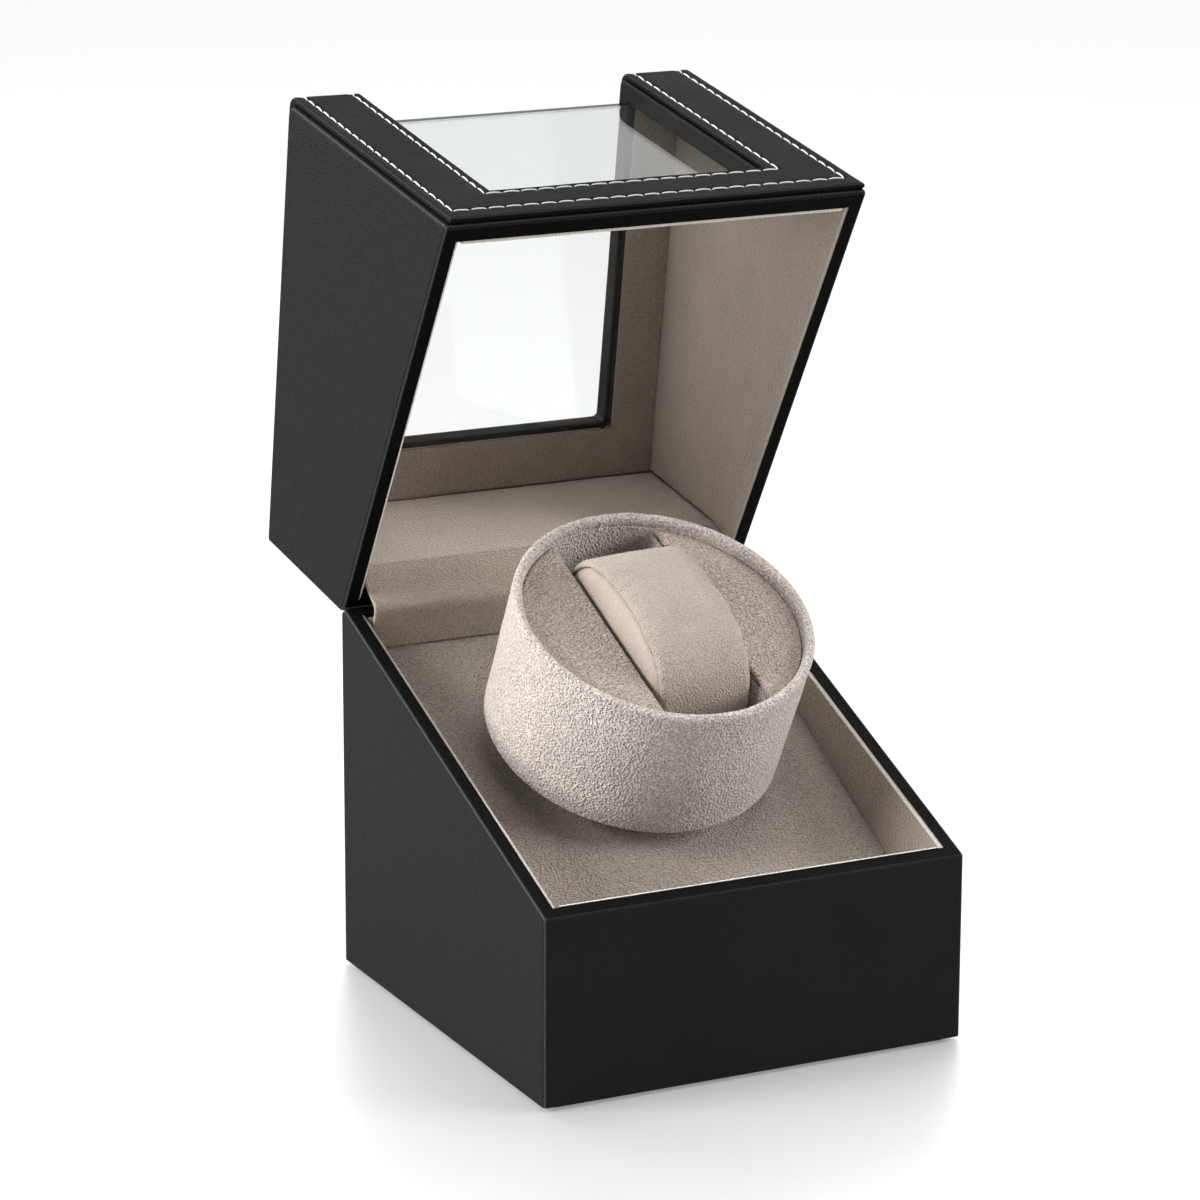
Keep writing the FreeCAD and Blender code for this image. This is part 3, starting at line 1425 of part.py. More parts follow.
def facing_rear(x, y, z):
    """A place on the rear wall, with Z of the piece pointing out to the rear."""
    return place(x, y, z, (1, 0, 0), "-90")


def make_panel():
    body = new_body("control_panel")
    sketch = new_sketch(body, "XZ_Plane", "0 - " + REAR)
    draw_polygon(sketch, rectangle("0 - panel_width / 2", "panel_z - panel_height / 2",
                                   "panel_width / 2", "panel_z + panel_height / 2"))
    plate = pad(body, sketch, "panel")
    plate.Reversed = True
    doc.recompute()
    round_edges(body, "panel_round", lambda edge: along(edge, 1))
    posts = new_sketch(body, "XZ_Plane", "0 - " + REAR)
    for side in (-1, 1):
        draw_circle(posts, "%d * %s" % (side, POST_X), "panel_z", "panel_post_radius")
    pad(body, posts, "circuit_depth")
    holes = new_sketch(body, "XZ_Plane", "0 - " + REAR)
    draw_circle(holes, KNOB_X, "panel_z", "knob_stem_radius + knob_play")
    draw_circle(holes, JACK_X, "panel_z", "jack_barrel_radius")
    wide = "(rocker_width / 2 + rocker_play)"
    tall = "(rocker_height / 2 + rocker_play + rocker_swing)"
    draw_polygon(holes, rectangle(ROCKER_X + " - " + wide, "panel_z - " + tall,
                                  ROCKER_X + " + " + wide, "panel_z + " + tall))
    pocket(body, holes, "panel")
    keep(settle(body, "control_panel"))


def make_controls():
    corner = place("0 - circuit_width / 2", CIRCUIT_FACE + " - circuit_board", "panel_z - circuit_height / 2")
    board = block("circuit_plate", "circuit_width", "circuit_board", "circuit_height", corner)
    keep(settle(board, "circuit_board"))
    depth = "(circuit_depth - switch_gap)"
    mode = block("mode_switch", "switch_side", depth, "switch_side",
                 place(KNOB_X + " - switch_side / 2", CIRCUIT_FACE, "panel_z - switch_side / 2"))
    wide = "(rocker_width + 2 * rocker_play + 2 * rocker_cheek)"
    frame = block("rocker_frame", wide, "circuit_depth", "rocker_height",
                  place("%s - %s / 2" % (ROCKER_X, wide), CIRCUIT_FACE, "panel_z - rocker_height / 2"))
    between = "(rocker_width + 2 * rocker_play)"
    side = "%s - %s / 2" % (ROCKER_X, between)
    corner = place(side, CIRCUIT_FACE + " + rocker_floor", "panel_z - rocker_height")
    well = block("rocker_well", between, "circuit_depth", "2 * rocker_height", corner)
    channel = cut("rocker_channel", frame, well)
    pin = rod("rocker_pin", "rocker_pin_radius", between,
              place(side, PIVOT_Y, "panel_z", (0, 1, 0), "90"))
    keep(group("switch_bodies", [mode, joined("power_switch", [channel, pin])]))

    skirt = PANEL_OUT + " + knob_gap"
    knob = spun("mode_knob", [
        ("0", "0 - panel - knob_gap - knob_root"),
        ("knob_stem_radius", "0 - panel - knob_gap - knob_root"),
        ("knob_stem_radius", "0"),
        ("knob_radius", "0"),
        ("knob_radius - knob_draft", "knob_length - knob_chamfer"),
        ("knob_radius - knob_draft - knob_chamfer", "knob_length"),
        ("0", "knob_length"),
    ])
    mark = new_sketch(knob, "XY_Plane", "knob_length")
    draw_polygon(mark, rectangle("0 - knob_mark / 2", "0 - 2 * knob_radius", "knob_mark / 2", "0 - knob_radius / 3"))
    pocket(knob, mark, "knob_chamfer")
    keep(settle(knob, "mode_knob", facing_rear(KNOB_X, skirt, "panel_z")))

    half = "(rocker_height / 2)"
    lip = "(rocker_pivot_depth + panel + rocker_rise)"
    dip = "(%s - rocker_dip)" % lip
    rocker = new_body("power_rocker")
    sketch = new_sketch(rocker, "YZ_Plane", "0 - rocker_width / 2")
    draw_polygon(sketch, [
        ("0 - rocker_tail", "0 - rocker_tail_half"),
        ("rocker_pivot_depth", "0 - " + half),
        (lip, "rocker_draft - " + half),
        (dip, "0"),
        (lip, half + " - rocker_draft"),
        ("rocker_pivot_depth", half),
        ("0 - rocker_tail", "rocker_tail_half"),
    ])
    pad(rocker, sketch, "rocker_width")
    bore = new_sketch(rocker, "YZ_Plane", "0 - rocker_width / 2")
    draw_circle(bore, "0", "0", "rocker_pin_radius + knob_play")
    pocket(rocker, bore, "rocker_width", forward=True)
    where = place(ROCKER_X, PIVOT_Y, "panel_z", (1, 0, 0), "0 - rocker_angle")
    keep(settle(rocker, "power_rocker", where))

    housing = block("jack_housing", "jack_side", "circuit_depth - jack_gap", "jack_side",
                    place(JACK_X + " - jack_side / 2", CIRCUIT_FACE, "panel_z - jack_side / 2"))
    barrel = rod("jack_barrel", "jack_barrel_radius", "jack_barrel_root + panel + jack_lip",
                 facing_rear(JACK_X, REAR + " - jack_barrel_root", "panel_z"))
    solid = joined("jack_solid", [housing, barrel])
    mouth = rod("jack_bore", "jack_bore_radius", "jack_bore_depth + 1",
                facing_rear(JACK_X, "%s + jack_lip - jack_bore_depth" % PANEL_OUT, "panel_z"))
    hollow = cut("jack_hollow", solid, mouth)
    pin = rod("jack_pin", "jack_pin_radius", "jack_bore_depth",
              facing_rear(JACK_X, PANEL_OUT + " - jack_bore_depth", "panel_z"))
    keep(joined("power_socket", [hollow, pin]))


def tube(points, radius):
    """A round wire along straight runs that tangent arcs join."""
    edges = []
    cursor = points[0]
    for before, corner, after in zip(points, points[1:], points[2:]):
        into = corner.sub(before)
        out = after.sub(corner)
        turn = into.getAngle(out)
        shorter = min(into.Length, out.Length)
        bend = 0.45 * shorter / math.tan(turn / 2)
        back = bend * math.tan(turn / 2)
        into.normalize()
        out.normalize()
        start = corner.sub(into * back)
        end = corner.add(out * back)
        inward = (out - into).normalize()
        middle = corner.add(inward * (bend / math.cos(turn / 2) - bend))
        edges.append(Part.LineSegment(cursor, start).toShape())
        edges.append(Part.Arc(start, middle, end).toShape())
        cursor = end
        print("lead bend radius %.1f mm" % bend)
    edges.append(Part.LineSegment(cursor, points[-1]).toShape())
    path = Part.Wire(edges)
    first = (points[1] - points[0]).normalize()
    ring = Part.Wire([Part.Circle(points[0], first, radius).toShape()])
    solid = Part.Wire(path.Edges).makePipeShell([ring], True, False)
    print("lead length %.1f mm, volume over section times length %.4f"
          % (path.Length, solid.Volume / (math.pi * radius ** 2 * path.Length)))
    return solid


def make_leads():
    """Two thin leads from the back of the motor to the circuit board."""
    motor = doc.getObject("motor_can").Placement
    low = number("(%s - motor_length)" % PLATE_BOTTOM)
    board_y = number(CIRCUIT_FACE + " - circuit_board")
    radius = number("lead_radius")
    across = number("lead_offset")
    reach = number("lead_reach")
    leads = []
    for side in (-1, 1):
        start = motor.multVec(Vector(side * number("lead_spread"), across, low))
        below = motor.multVec(Vector(side * number("lead_spread"), across, low - reach))
        end_x = number(KNOB_X) + side * number("lead_spread")
        end_z = number("panel_z")
        near = Vector(end_x, board_y - reach, end_z)
        end = Vector(end_x, board_y, end_z)
        leads.append(tube([start, below, near, end], radius))
    feature("motor_leads", Part.makeCompound(leads), None)


make_base_skin()
make_base_boards()
make_bottom()
make_tray()
make_base_linings()
make_lid_skin()
make_lid_boards()
make_panes()
make_lid_linings()
make_cover()
make_leaves("hinge_base_leaves", -1)
make_leaves("hinge_lid_leaves", 1, LID_OPEN)
make_hinge_pins()
make_hinge_flap()
make_drum()
make_hub()
make_pillow()
make_gears()
make_drive()
make_motor()
make_panel()
make_controls()
make_leads()
doc.recompute()

for item in doc.Objects:
    if "Invalid" in item.State or "Error" in item.State:
        raise RuntimeError("failed object: " + item.Name)
os.makedirs("parts", exist_ok=True)
for label, item in parts.items():
    shape = item.Shape
    if shape.isNull() or not shape.isValid() or not shape.Solids:
        raise RuntimeError("bad shape: " + label)
for label, item in parts.items():
    item.Shape.exportStep("parts/%s.step" % label)
box = Part.makeCompound([item.Shape for item in parts.values()]).BoundBox
print("%d parts, %.1f x %.1f x %.1f mm" % (len(parts), box.XLength, box.YLength, box.ZLength))
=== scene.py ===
# %% [markdown]
# # A watch winder in Blender
#
# This lesson dresses a small leather box with a tilted drum that a hidden motor turns. The construction,
# with its boards, hinges, gears and motor, arrives ready made, so the lesson is about what the eye
# meets: grained leather with white stitching, soft suede, a stuffed pillow and clear glass. Every cell
# makes one thing and prints what it made.

# %% Load the construction
import json
import math
import random

import bmesh
import bpy
import numpy as np
from mathutils import Matrix, Vector, noise


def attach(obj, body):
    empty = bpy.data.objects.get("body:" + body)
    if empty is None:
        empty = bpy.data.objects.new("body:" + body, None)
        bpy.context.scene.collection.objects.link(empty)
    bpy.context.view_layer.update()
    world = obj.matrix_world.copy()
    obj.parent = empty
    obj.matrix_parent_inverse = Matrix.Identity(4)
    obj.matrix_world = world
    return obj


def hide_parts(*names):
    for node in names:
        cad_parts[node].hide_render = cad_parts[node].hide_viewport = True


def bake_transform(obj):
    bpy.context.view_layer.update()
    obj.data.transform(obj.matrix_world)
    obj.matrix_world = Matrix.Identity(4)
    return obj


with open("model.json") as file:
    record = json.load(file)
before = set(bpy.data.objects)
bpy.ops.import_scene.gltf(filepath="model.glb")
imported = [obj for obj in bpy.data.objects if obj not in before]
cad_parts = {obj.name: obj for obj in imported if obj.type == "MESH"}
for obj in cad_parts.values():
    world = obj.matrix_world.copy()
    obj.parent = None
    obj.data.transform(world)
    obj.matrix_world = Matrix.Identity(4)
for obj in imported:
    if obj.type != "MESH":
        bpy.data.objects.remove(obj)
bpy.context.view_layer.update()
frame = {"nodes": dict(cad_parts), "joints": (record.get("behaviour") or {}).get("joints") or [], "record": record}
nodes = frame["nodes"]

# %% [markdown]
# ## The three frames that pieces are drawn in
#
# The box stands square to the world, but the lid leans back on its hinge and the drum leans forward on
# its shaft. It is far easier to draw a lid shut and a drum upright, and to turn the finished mesh into
# its place with one matrix. Blender's own way would be an empty to parent to, but then the numbers in
# the mesh would not say where the piece really is.

# %% Places of the hinge and the drum
MM = 0.001
joints = {joint["name"]: joint for joint in frame["joints"]}
hinge = Vector(joints["lid_hinge"]["pos_m"])
lid_angle = math.radians(max(abs(limit) for limit in joints["lid_hinge"]["range_deg"]))
SHUT_LID = Matrix.Translation(hinge) @ Matrix.Rotation(-lid_angle, 4, "X") @ Matrix.Translation(-hinge)

drum_axis = Vector(joints["drum_spin"]["axis"])
tray_tilt = math.atan2(-drum_axis.y, drum_axis.z)
park_angle = math.radians(3.2)
ON_TRAY = Matrix.Translation(Vector(joints["drum_spin"]["pos_m"])) @ Matrix.Rotation(tray_tilt, 4, "X")
ON_DRUM = ON_TRAY @ Matrix.Rotation(park_angle, 4, "Z")
UPRIGHT = Matrix.Identity(4)
print("lid open by %.0f degrees, drum tilted by %.0f" % (math.degrees(lid_angle), math.degrees(tray_tilt)))

# %% [markdown]
# ## The camera
#
# The camera stands where the photographer stood, far off with a long lens, which keeps the box's edges
# nearly parallel. It is aimed by its own three directions rather than by a target, so that the roll of
# the picture is kept too.

# %% Camera
camera_azimuth, camera_height, camera_roll = -0.45934, 0.26274, 0.00293
camera_place = Vector((-542.0, -1067.7, 432.8)) * MM


def look_directions(azimuth, height, roll):
    """The camera's own right, up and back, for angles in radians."""
    level = math.cos(height)
    back = Vector((math.sin(azimuth) * level, -math.cos(azimuth) * level, math.sin(height)))
    right = Vector((math.cos(azimuth), math.sin(azimuth), 0))
    up = back.cross(right)
    return (math.cos(roll) * right + math.sin(roll) * up,
            math.cos(roll) * up - math.sin(roll) * right, back)


right, up, back = look_directions(camera_azimuth, camera_height, camera_roll)
camera = bpy.data.objects.new("camera", bpy.data.cameras.new("camera"))
camera.data.lens = 142.44
camera.data.sensor_width = 36.0
camera.data.clip_start = 0.05
camera.matrix_world = Matrix.Translation(camera_place) @ Matrix((right, up, back)).transposed().to_4x4()
bpy.context.scene.collection.objects.link(camera)
bpy.context.scene.camera = camera
bpy.context.scene.view_settings.view_transform = "Standard"
print("camera", [round(v, 3) for v in camera_place])

# %% [markdown]
# ## Materials: a graph helper
#
# Each finish below is a small graph of nodes that ends in a Principled shader. Typing out every node
# and link hides the idea, so one helper adds a node, sets its sockets and joins its inputs. All the
# patterns are read from the object's own coordinates in metres, which lets the scale of a grain be
# given as its real size, and keeps it fixed to the piece as the piece moves.

# %% Helper for shader graphs
def finish(name, colour, roughness):
    """A new material with a plain colour, and its shader."""
    material = bpy.data.materials.new(name)
    material.use_nodes = True
    shader = material.node_tree.nodes["Principled BSDF"]
    shader.inputs["Base Color"].default_value = (*colour, 1)
    shader.inputs["Roughness"].default_value = roughness
    material.diffuse_color = (*colour, 1)
    return material, shader


def add(material, kind, sources=None, **values):
    """Add a node. The sources are joined to its inputs, the values set on it or on its sockets."""
    node = material.node_tree.nodes.new(kind)
    for key, value in values.items():
        if hasattr(node, key):
            setattr(node, key, value)
        else:
            node.inputs[key.replace("_", " ").title()].default_value = value
    for key, socket in (sources or {}).items():
        material.node_tree.links.new(socket, node.inputs[key])
    return node


def where_on_piece(material):
    return add(material, "ShaderNodeTexCoord").outputs["Object"]


def pattern(material, size_mm, detail=2.0, roughness=0.5, distortion=0.0, stretch=None):
    """A noise from 0 to 1, whose blobs have about the size that is given."""
    spot = where_on_piece(material)
    if stretch:
        spot = add(material, "ShaderNodeMapping", {"Vector": spot}, Scale=stretch).outputs["Vector"]
    return add(material, "ShaderNodeTexNoise", {"Vector": spot}, Scale=1000 / size_mm, Detail=detail,
               Roughness=roughness, Distortion=distortion).outputs["Fac"]


print("nodes, places and patterns ready")

# %% Helpers for colour, bumps and the way into the shader
def ramp(material, factor, *stops):
    """A colour or a grey for each place along the factor."""
    node = add(material, "ShaderNodeValToRGB", {"Fac": factor})
    while len(node.color_ramp.elements) < len(stops):
        node.color_ramp.elements.new(0.5)
    for element, (place, colour) in zip(node.color_ramp.elements, stops):
        element.position = place
        element.color = (*colour, 1) if hasattr(colour, "__len__") else (colour, colour, colour, 1)
    return node.outputs["Color"]


def blended(material, factor, first, second, mode="MIX"):
    node = add(material, "ShaderNodeMix", data_type="RGBA", blend_type=mode)
    for socket, value in ((node.inputs[0], factor), (node.inputs[6], first), (node.inputs[7], second)):
        if isinstance(value, bpy.types.NodeSocket):
            material.node_tree.links.new(value, socket)
        else:
            socket.default_value = value if isinstance(value, float) else (*value, 1)
    return node.outputs[2]


def into_shader(material, socket, name="Base Color"):
    material.node_tree.links.new(socket, material.node_tree.nodes["Principled BSDF"].inputs[name])


def bumps(material, *layers):
    """Stack bump maps, each a height and the depth in millimetres that it stands for."""
    normal = None
    for height, depth in layers:
        sources = {"Height": height}
        if normal:
            sources["Normal"] = normal
        normal = add(material, "ShaderNodeBump", sources, Strength=1.0, Distance=depth * MM).outputs["Normal"]
    into_shader(material, normal, "Normal")


print("ramps, blends and bumps ready")

# %% [markdown]
# ## Black leather
#
# The box is wrapped in embossed imitation leather: black, satin, with pebbles well under a millimetre
# across. An emboss is a pattern of cells with soft valleys between them, which is what the Voronoi
# texture's distance to edge gives. A little noise breaks up its regularity, and a broad, weak noise
# varies the sheen the way handled leather does. Black leather is judged by its edges: the rim faces are
# painted darker than the walls, a painted shade, and the bends carry a fine painted highlight line, except
# the lid's bends that look toward its top. Both are found by comparing the surface's normal with the
# directions of the flats.

# %% Leather
rim_rise, box_depth = 50.0, 126.0
rim_tilt = math.atan2(rim_rise, box_depth)
box_rim = Vector((0, -math.sin(rim_tilt), math.cos(rim_tilt)))
box_axes = [Vector((1, 0, 0)), Vector((0, 1, 0)), Vector((0, 0, 1))]
lid_rim = SHUT_LID.to_3x3() @ -box_rim
lid_axes = [SHUT_LID.to_3x3() @ axis for axis in box_axes]


def facing(material, direction):
    """How squarely the surface looks along a direction, from 1 to -1."""
    normal = add(material, "ShaderNodeTexCoord").outputs["Normal"]
    node = add(material, "ShaderNodeVectorMath", {"Vector": normal}, operation="DOT_PRODUCT")
    node.inputs[1].default_value = direction
    return node.outputs["Value"]


def greater(material, first, second):
    return add(material, "ShaderNodeMath", {0: first, 1: second}, operation="MAXIMUM").outputs[0]


def squareness(material, directions):
    """1 on the flats, whose normals are given, and less on the bends between them."""
    best = None
    for direction in directions:
        for sign in (1, -1):
            dot = facing(material, sign * direction)
            best = greater(material, best, dot) if best else dot
    return best


def times(colour, factor):
    return tuple(channel * factor for channel in colour)


def leather(name, colour, pebble_mm, depth_mm, roughness, axes, rim, unhighlighted=None):
    """Embossed leather, with painted shade on its rim faces and a painted highlight on its bends, except those
    that look along the last direction given.
    """
    material, shader = finish(name, colour, roughness)
    spot = where_on_piece(material)
    cells = add(material, "ShaderNodeTexVoronoi", {"Vector": spot}, Scale=1000 / pebble_mm,
                feature="DISTANCE_TO_EDGE", Randomness=1.0).outputs["Distance"]
    pebbles = ramp(material, cells, (0.0, 0.0), (0.28, 1.0))
    creases = pattern(material, pebble_mm * 0.35, detail=3)
    cloudy = pattern(material, 28, detail=2)
    bumps(material, (pebbles, depth_mm), (creases, depth_mm * 0.4), (pattern(material, 6), 0.05))
    # The first tone is a random lighter mottle; the second darkens the rim faces as painted shade; the third
    # lightens the bends as a painted highlight.
    worn, painted_rim_shade, painted_edge_highlight = times(colour, 1.35), times(colour, 0.35), times(colour, 4.2)
    plain = blended(material, cloudy, colour, worn)
    on_rim = ramp(material, facing(material, rim), (0.90, 0.0), (0.95, 1.0))
    on_bend = ramp(material, squareness(material, axes + [rim]), (0.79, 1.0), (0.86, 0.0))
    # The lid's bends that look toward its top get no painted highlight.
    if unhighlighted:
        away = ramp(material, facing(material, unhighlighted), (0.15, 1.0), (0.35, 0.0))
        on_bend = blended(material, 1.0, on_bend, away, "MULTIPLY")
    into_shader(material, blended(material, on_bend, blended(material, on_rim, plain, painted_rim_shade), painted_edge_highlight))
    sheen = ramp(material, cloudy, (0.3, roughness - 0.05), (0.7, roughness + 0.05))
    into_shader(material, sheen, "Roughness")
    shader.inputs["Specular IOR Level"].default_value = 0.02
    return material


black_leather = leather("black leather", (0.0122, 0.0131, 0.0129), 0.85, 0.09, 0.42, box_axes, box_rim)
lid_leather = leather("lid leather", (0.0096, 0.0105, 0.0103), 0.85, 0.09, 0.42, lid_axes, lid_rim,
                      unhighlighted=lid_axes[2])
# The cover's leather is a darker copy of the box's: painted shade on the cover's up-facing frame.
shaded_cover_leather = leather("shaded cover leather", (0.0060, 0.0064, 0.0064), 0.85, 0.08, 0.40, lid_axes, lid_rim)
print("leather ready")

# %% [markdown]
# ## Microsuede
#
# Suede cloth has a nap of fibres that clump into pebbles about half a millimetre across. A noise makes
# the clumps, and drives both the height and the colour, so that every bump is also a pale spot and every
# hollow darker: partly the nap's own tone, partly painted shade. The fibres scatter light sideways, which
# brightens every edge seen at a glance: that is the shader's sheen. The wall linings are painted paler
# where they turn over at the rim: a painted highlight.

# %% Suede
# Colour of the painted highlight on the linings' rim edges.
painted_rim_highlight = (0.64, 0.595, 0.53)


def suede(name, tips, gaps_and_shade, clump_mm, depth_mm, sheen, rim=None):
    """Napped cloth, darker in its hollows, partly by painted shade. What looks along the rim's direction is
    painted paler, a painted highlight.
    """
    material, shader = finish(name, tips, 0.95)
    clumps = pattern(material, clump_mm, detail=0.6, roughness=0.5)
    fibres = pattern(material, clump_mm * 0.4, detail=2, roughness=0.6)
    brushed = pattern(material, 17, detail=3, roughness=0.6)
    height = ramp(material, clumps, (0.22, 0.0), (0.78, 1.0))
    bumps(material, (height, depth_mm), (fibres, depth_mm * 0.2))
    # Darker in the gaps between clumps: partly the nap's own tone, partly painted shade.
    nap_and_shade = blended(material, height, gaps_and_shade, tips)
    shaded = ramp(material, brushed, (0.3, 0.88), (0.7, 1.0))
    colour = blended(material, 1.0, nap_and_shade, shaded, "MULTIPLY")
    if rim:
        on_rim = ramp(material, facing(material, rim), (0.35, 0.0), (0.8, 1.0))
        # The rim faces are painted paler: a painted highlight where the lining turns over.
        colour = blended(material, on_rim, colour, painted_rim_highlight)
    into_shader(material, colour)
    shader.inputs["Sheen Weight"].default_value = sheen
    shader.inputs["Sheen Tint"].default_value = (1.0, 0.92, 0.86, 1)
    shader.inputs["Sheen Roughness"].default_value = 0.45
    shader.inputs["Specular IOR Level"].default_value = 0.12
    return material


lining_suede = suede("lining suede", (0.47, 0.405, 0.345), (0.33, 0.27, 0.22), 0.55, 0.32, 0.6)
tray_suede = suede("tray suede", (0.52, 0.46, 0.405), (0.265, 0.22, 0.185), 0.58, 0.48, 0.5)
shaded_suede = suede("shaded suede", (0.39, 0.33, 0.275), (0.26, 0.21, 0.17), 0.55, 0.32, 0.6)
# A lighter copy of the lining suede: painted light on the lid's rear pad.
lit_pad_suede = suede("lid pad lit suede", (0.61, 0.535, 0.465), (0.44, 0.37, 0.31), 0.55, 0.30, 0.6)
# A darker copy of the lining suede: painted shade on the well's walls.
shaded_box_wall_suede = suede("box wall shaded suede", (0.38, 0.33, 0.28), (0.27, 0.22, 0.18), 0.55, 0.32, 0.6, box_rim)
# A lighter copy of the lining suede: painted light on the lid's walls.
lit_lid_wall_suede = suede("lid wall lit suede", (0.54, 0.465, 0.40), (0.40, 0.335, 0.28), 0.55, 0.28, 0.6, lid_rim)
drum_suede = suede("drum suede", (0.82, 0.74, 0.685), (0.345, 0.305, 0.275), 0.60, 0.60, 0.3)
# A darker copy of the drum's suede: painted shade on the recessed half-moon faces.
shaded_moon_suede = suede("drum face shaded suede", (0.65, 0.545, 0.485), (0.26, 0.215, 0.185), 0.60, 0.58, 0.3)
band_suede = suede("pillow band suede", (0.50, 0.43, 0.38), (0.36, 0.305, 0.265), 0.50, 0.30, 0.3)
cheek_suede = suede("pillow cheek suede", (0.50, 0.42, 0.375), (0.40, 0.335, 0.295), 0.45, 0.18, 0.2)
print("ten suedes ready")

# %% [markdown]
# ## Glass, metal, board and plastic
#
# The rest of the finishes are quick to say. Glass is full transmission with almost no roughness. Metals
# are fully metallic, with a fine stretched noise for the brush marks. Fibreboard is a speckle of pale
# and dark fibres, felt is the same idea with a deep soft bump, and moulded plastic is smooth with the
# faint spark-eroded texture that tools leave on it.

# %% Hard finishes
def glass(name):
    material, shader = finish(name, (0.85, 0.868, 0.866), 0.0)
    shader.inputs["Transmission Weight"].default_value = 1.0
    shader.inputs["IOR"].default_value = 1.46
    smears = pattern(material, 40, detail=3, roughness=0.6)
    into_shader(material, ramp(material, smears, (0.45, 0.0), (0.8, 0.035)), "Roughness")
    return material


def metal(name, colour, roughness, stretch=(1, 14, 14)):
    material, shader = finish(name, colour, roughness)
    shader.inputs["Metallic"].default_value = 1.0
    marks = pattern(material, 0.9, detail=3, roughness=0.6, stretch=stretch)
    polish = ramp(material, marks, (0.3, roughness - 0.08), (0.7, roughness + 0.10))
    into_shader(material, polish, "Roughness")
    into_shader(material, blended(material, pattern(material, 5), times(colour, 0.86), colour))
    bumps(material, (marks, 0.01))
    return material


def plastic(name, colour, roughness=0.42, grain_mm=0.4):
    material, shader = finish(name, colour, roughness)
    pale = tuple(min(1.0, channel * 1.15 + 0.004) for channel in colour)
    into_shader(material, blended(material, pattern(material, 9, detail=3), colour, pale))
    bumps(material, (pattern(material, grain_mm, detail=2), 0.012))
    shader.inputs["Specular IOR Level"].default_value = 0.45
    return material


def fibrous(name, pale, dark, fibre_mm, depth_mm, stretch=(1, 1, 1), sheen=0.0):
    material, shader = finish(name, pale, 0.9)
    fibres = pattern(material, fibre_mm, detail=4, roughness=0.7, distortion=0.4, stretch=stretch)
    into_shader(material, ramp(material, fibres, (0.34, dark), (0.62, pale)))
    bumps(material, (fibres, depth_mm))
    shader.inputs["Sheen Weight"].default_value = sheen
    shader.inputs["Specular IOR Level"].default_value = 0.2
    return material


clear_glass = glass("clear glass")
steel = metal("plain steel", (0.58, 0.58, 0.59), 0.32)
brass = metal("turned brass", (0.78, 0.58, 0.27), 0.28)
black_plastic = plastic("black plastic", (0.018, 0.018, 0.019))
white_nylon = plastic("white nylon", (0.78, 0.77, 0.72), 0.38)
drum_plastic = plastic("drum plastic", (0.62, 0.60, 0.56), 0.5)
red_insulation = plastic("red insulation", (0.42, 0.02, 0.018), 0.35)
fibreboard = fibrous("fibreboard", (0.58, 0.43, 0.29), (0.34, 0.23, 0.14), 0.7, 0.04, (1, 1, 2.5))
felt = fibrous("dark felt", (0.050, 0.048, 0.046), (0.018, 0.017, 0.017), 0.8, 0.15, sheen=0.1)
foam = fibrous("firm foam", (0.78, 0.76, 0.68), (0.55, 0.52, 0.44), 0.6, 0.12)
print("hard finishes ready")

# %% [markdown]
# ## The circuit board and the sewing thread
#
# The board behind the controls is green lacquer over copper tracks. A brick texture gives tracks that
# run straight and turn square, and the lacquer is the shader's coat. The thread is thick white nylon:
# two strands twisted together, which a slanted wave shows as fine diagonal ridges. The grooves between
# the ridges are painted darker: painted shade.

# %% Circuit board and thread
lacquer, lacquer_shader = finish("green lacquer", (0.01, 0.11, 0.035), 0.35)
tracks = add(lacquer, "ShaderNodeTexBrick", {"Vector": where_on_piece(lacquer)}, Scale=180.0,
             Mortar_Size=0.08, Mortar=(0.05, 0.26, 0.08, 1),
             Color1=(0.012, 0.14, 0.045, 1), Color2=(0.010, 0.11, 0.035, 1))
into_shader(lacquer, tracks.outputs["Color"])
bumps(lacquer, (tracks.outputs["Fac"], 0.03))
lacquer_shader.inputs["Coat Weight"].default_value = 0.6

thread, thread_shader = finish("white thread", (0.86, 0.85, 0.82), 0.6)
twist = add(thread, "ShaderNodeTexWave", {"Vector": where_on_piece(thread)}, Scale=900.0, Distortion=1.5,
            Detail=1.0, bands_direction="DIAGONAL").outputs["Fac"]
bumps(thread, (twist, 0.05))
# Darker in the grooves of the twist: painted shade.
into_shader(thread, ramp(thread, twist, (0.1, (0.50, 0.49, 0.46)), (0.6, (0.74, 0.73, 0.70))))
thread_shader.inputs["Sheen Weight"].default_value = 0.2
print("lacquer and thread ready")

# %% [markdown]
# ## Dressing the ready-made construction
#
# Every piece of the construction names the slot of the finish that it takes. A table from slot to
# material dresses them all at once. The soft pieces among them are dressed too, though most of them
# are replaced further down by meshes with folds and seams.

# %% Finishes by slot
finishes = {
    "leather_black": black_leather, "board": fibreboard, "felt": felt, "suede_lining": lining_suede,
    "suede_drum": drum_suede, "suede_pillow": band_suede, "foam": foam, "glass": clear_glass, "steel": steel,
    "brass": brass, "plastic_black": black_plastic, "plastic_white": white_nylon,
    "drum_plastic": drum_plastic, "circuit": lacquer, "lead": red_insulation,
}
for part in frame["record"]["subparts"]:
    node = nodes[part["node"]]
    node.data.materials.clear()
    node.data.materials.append(finishes[part["material_slot"]])
nodes["lid_skin"].data.materials[0] = lid_leather
print(len(finishes), "finishes on", len(nodes), "pieces")

# %% [markdown]
# ## Helpers for soft sheets
#
# Linings, the drum's faces and the stitched cover are all the same thing: a sheet laid on a board, with
# edges that turn down softly. A cube with a bevel would have the soft edge but no life in its face. A
# grid does both: its lines lie close together near an edge and wider in the middle, a height is asked
# for at every crossing, and the outermost line is carried down to the board. Round pieces are rings of
# points instead, joined one to the next. Every finished mesh but the hinge flap is hung on the body that
# it moves with.

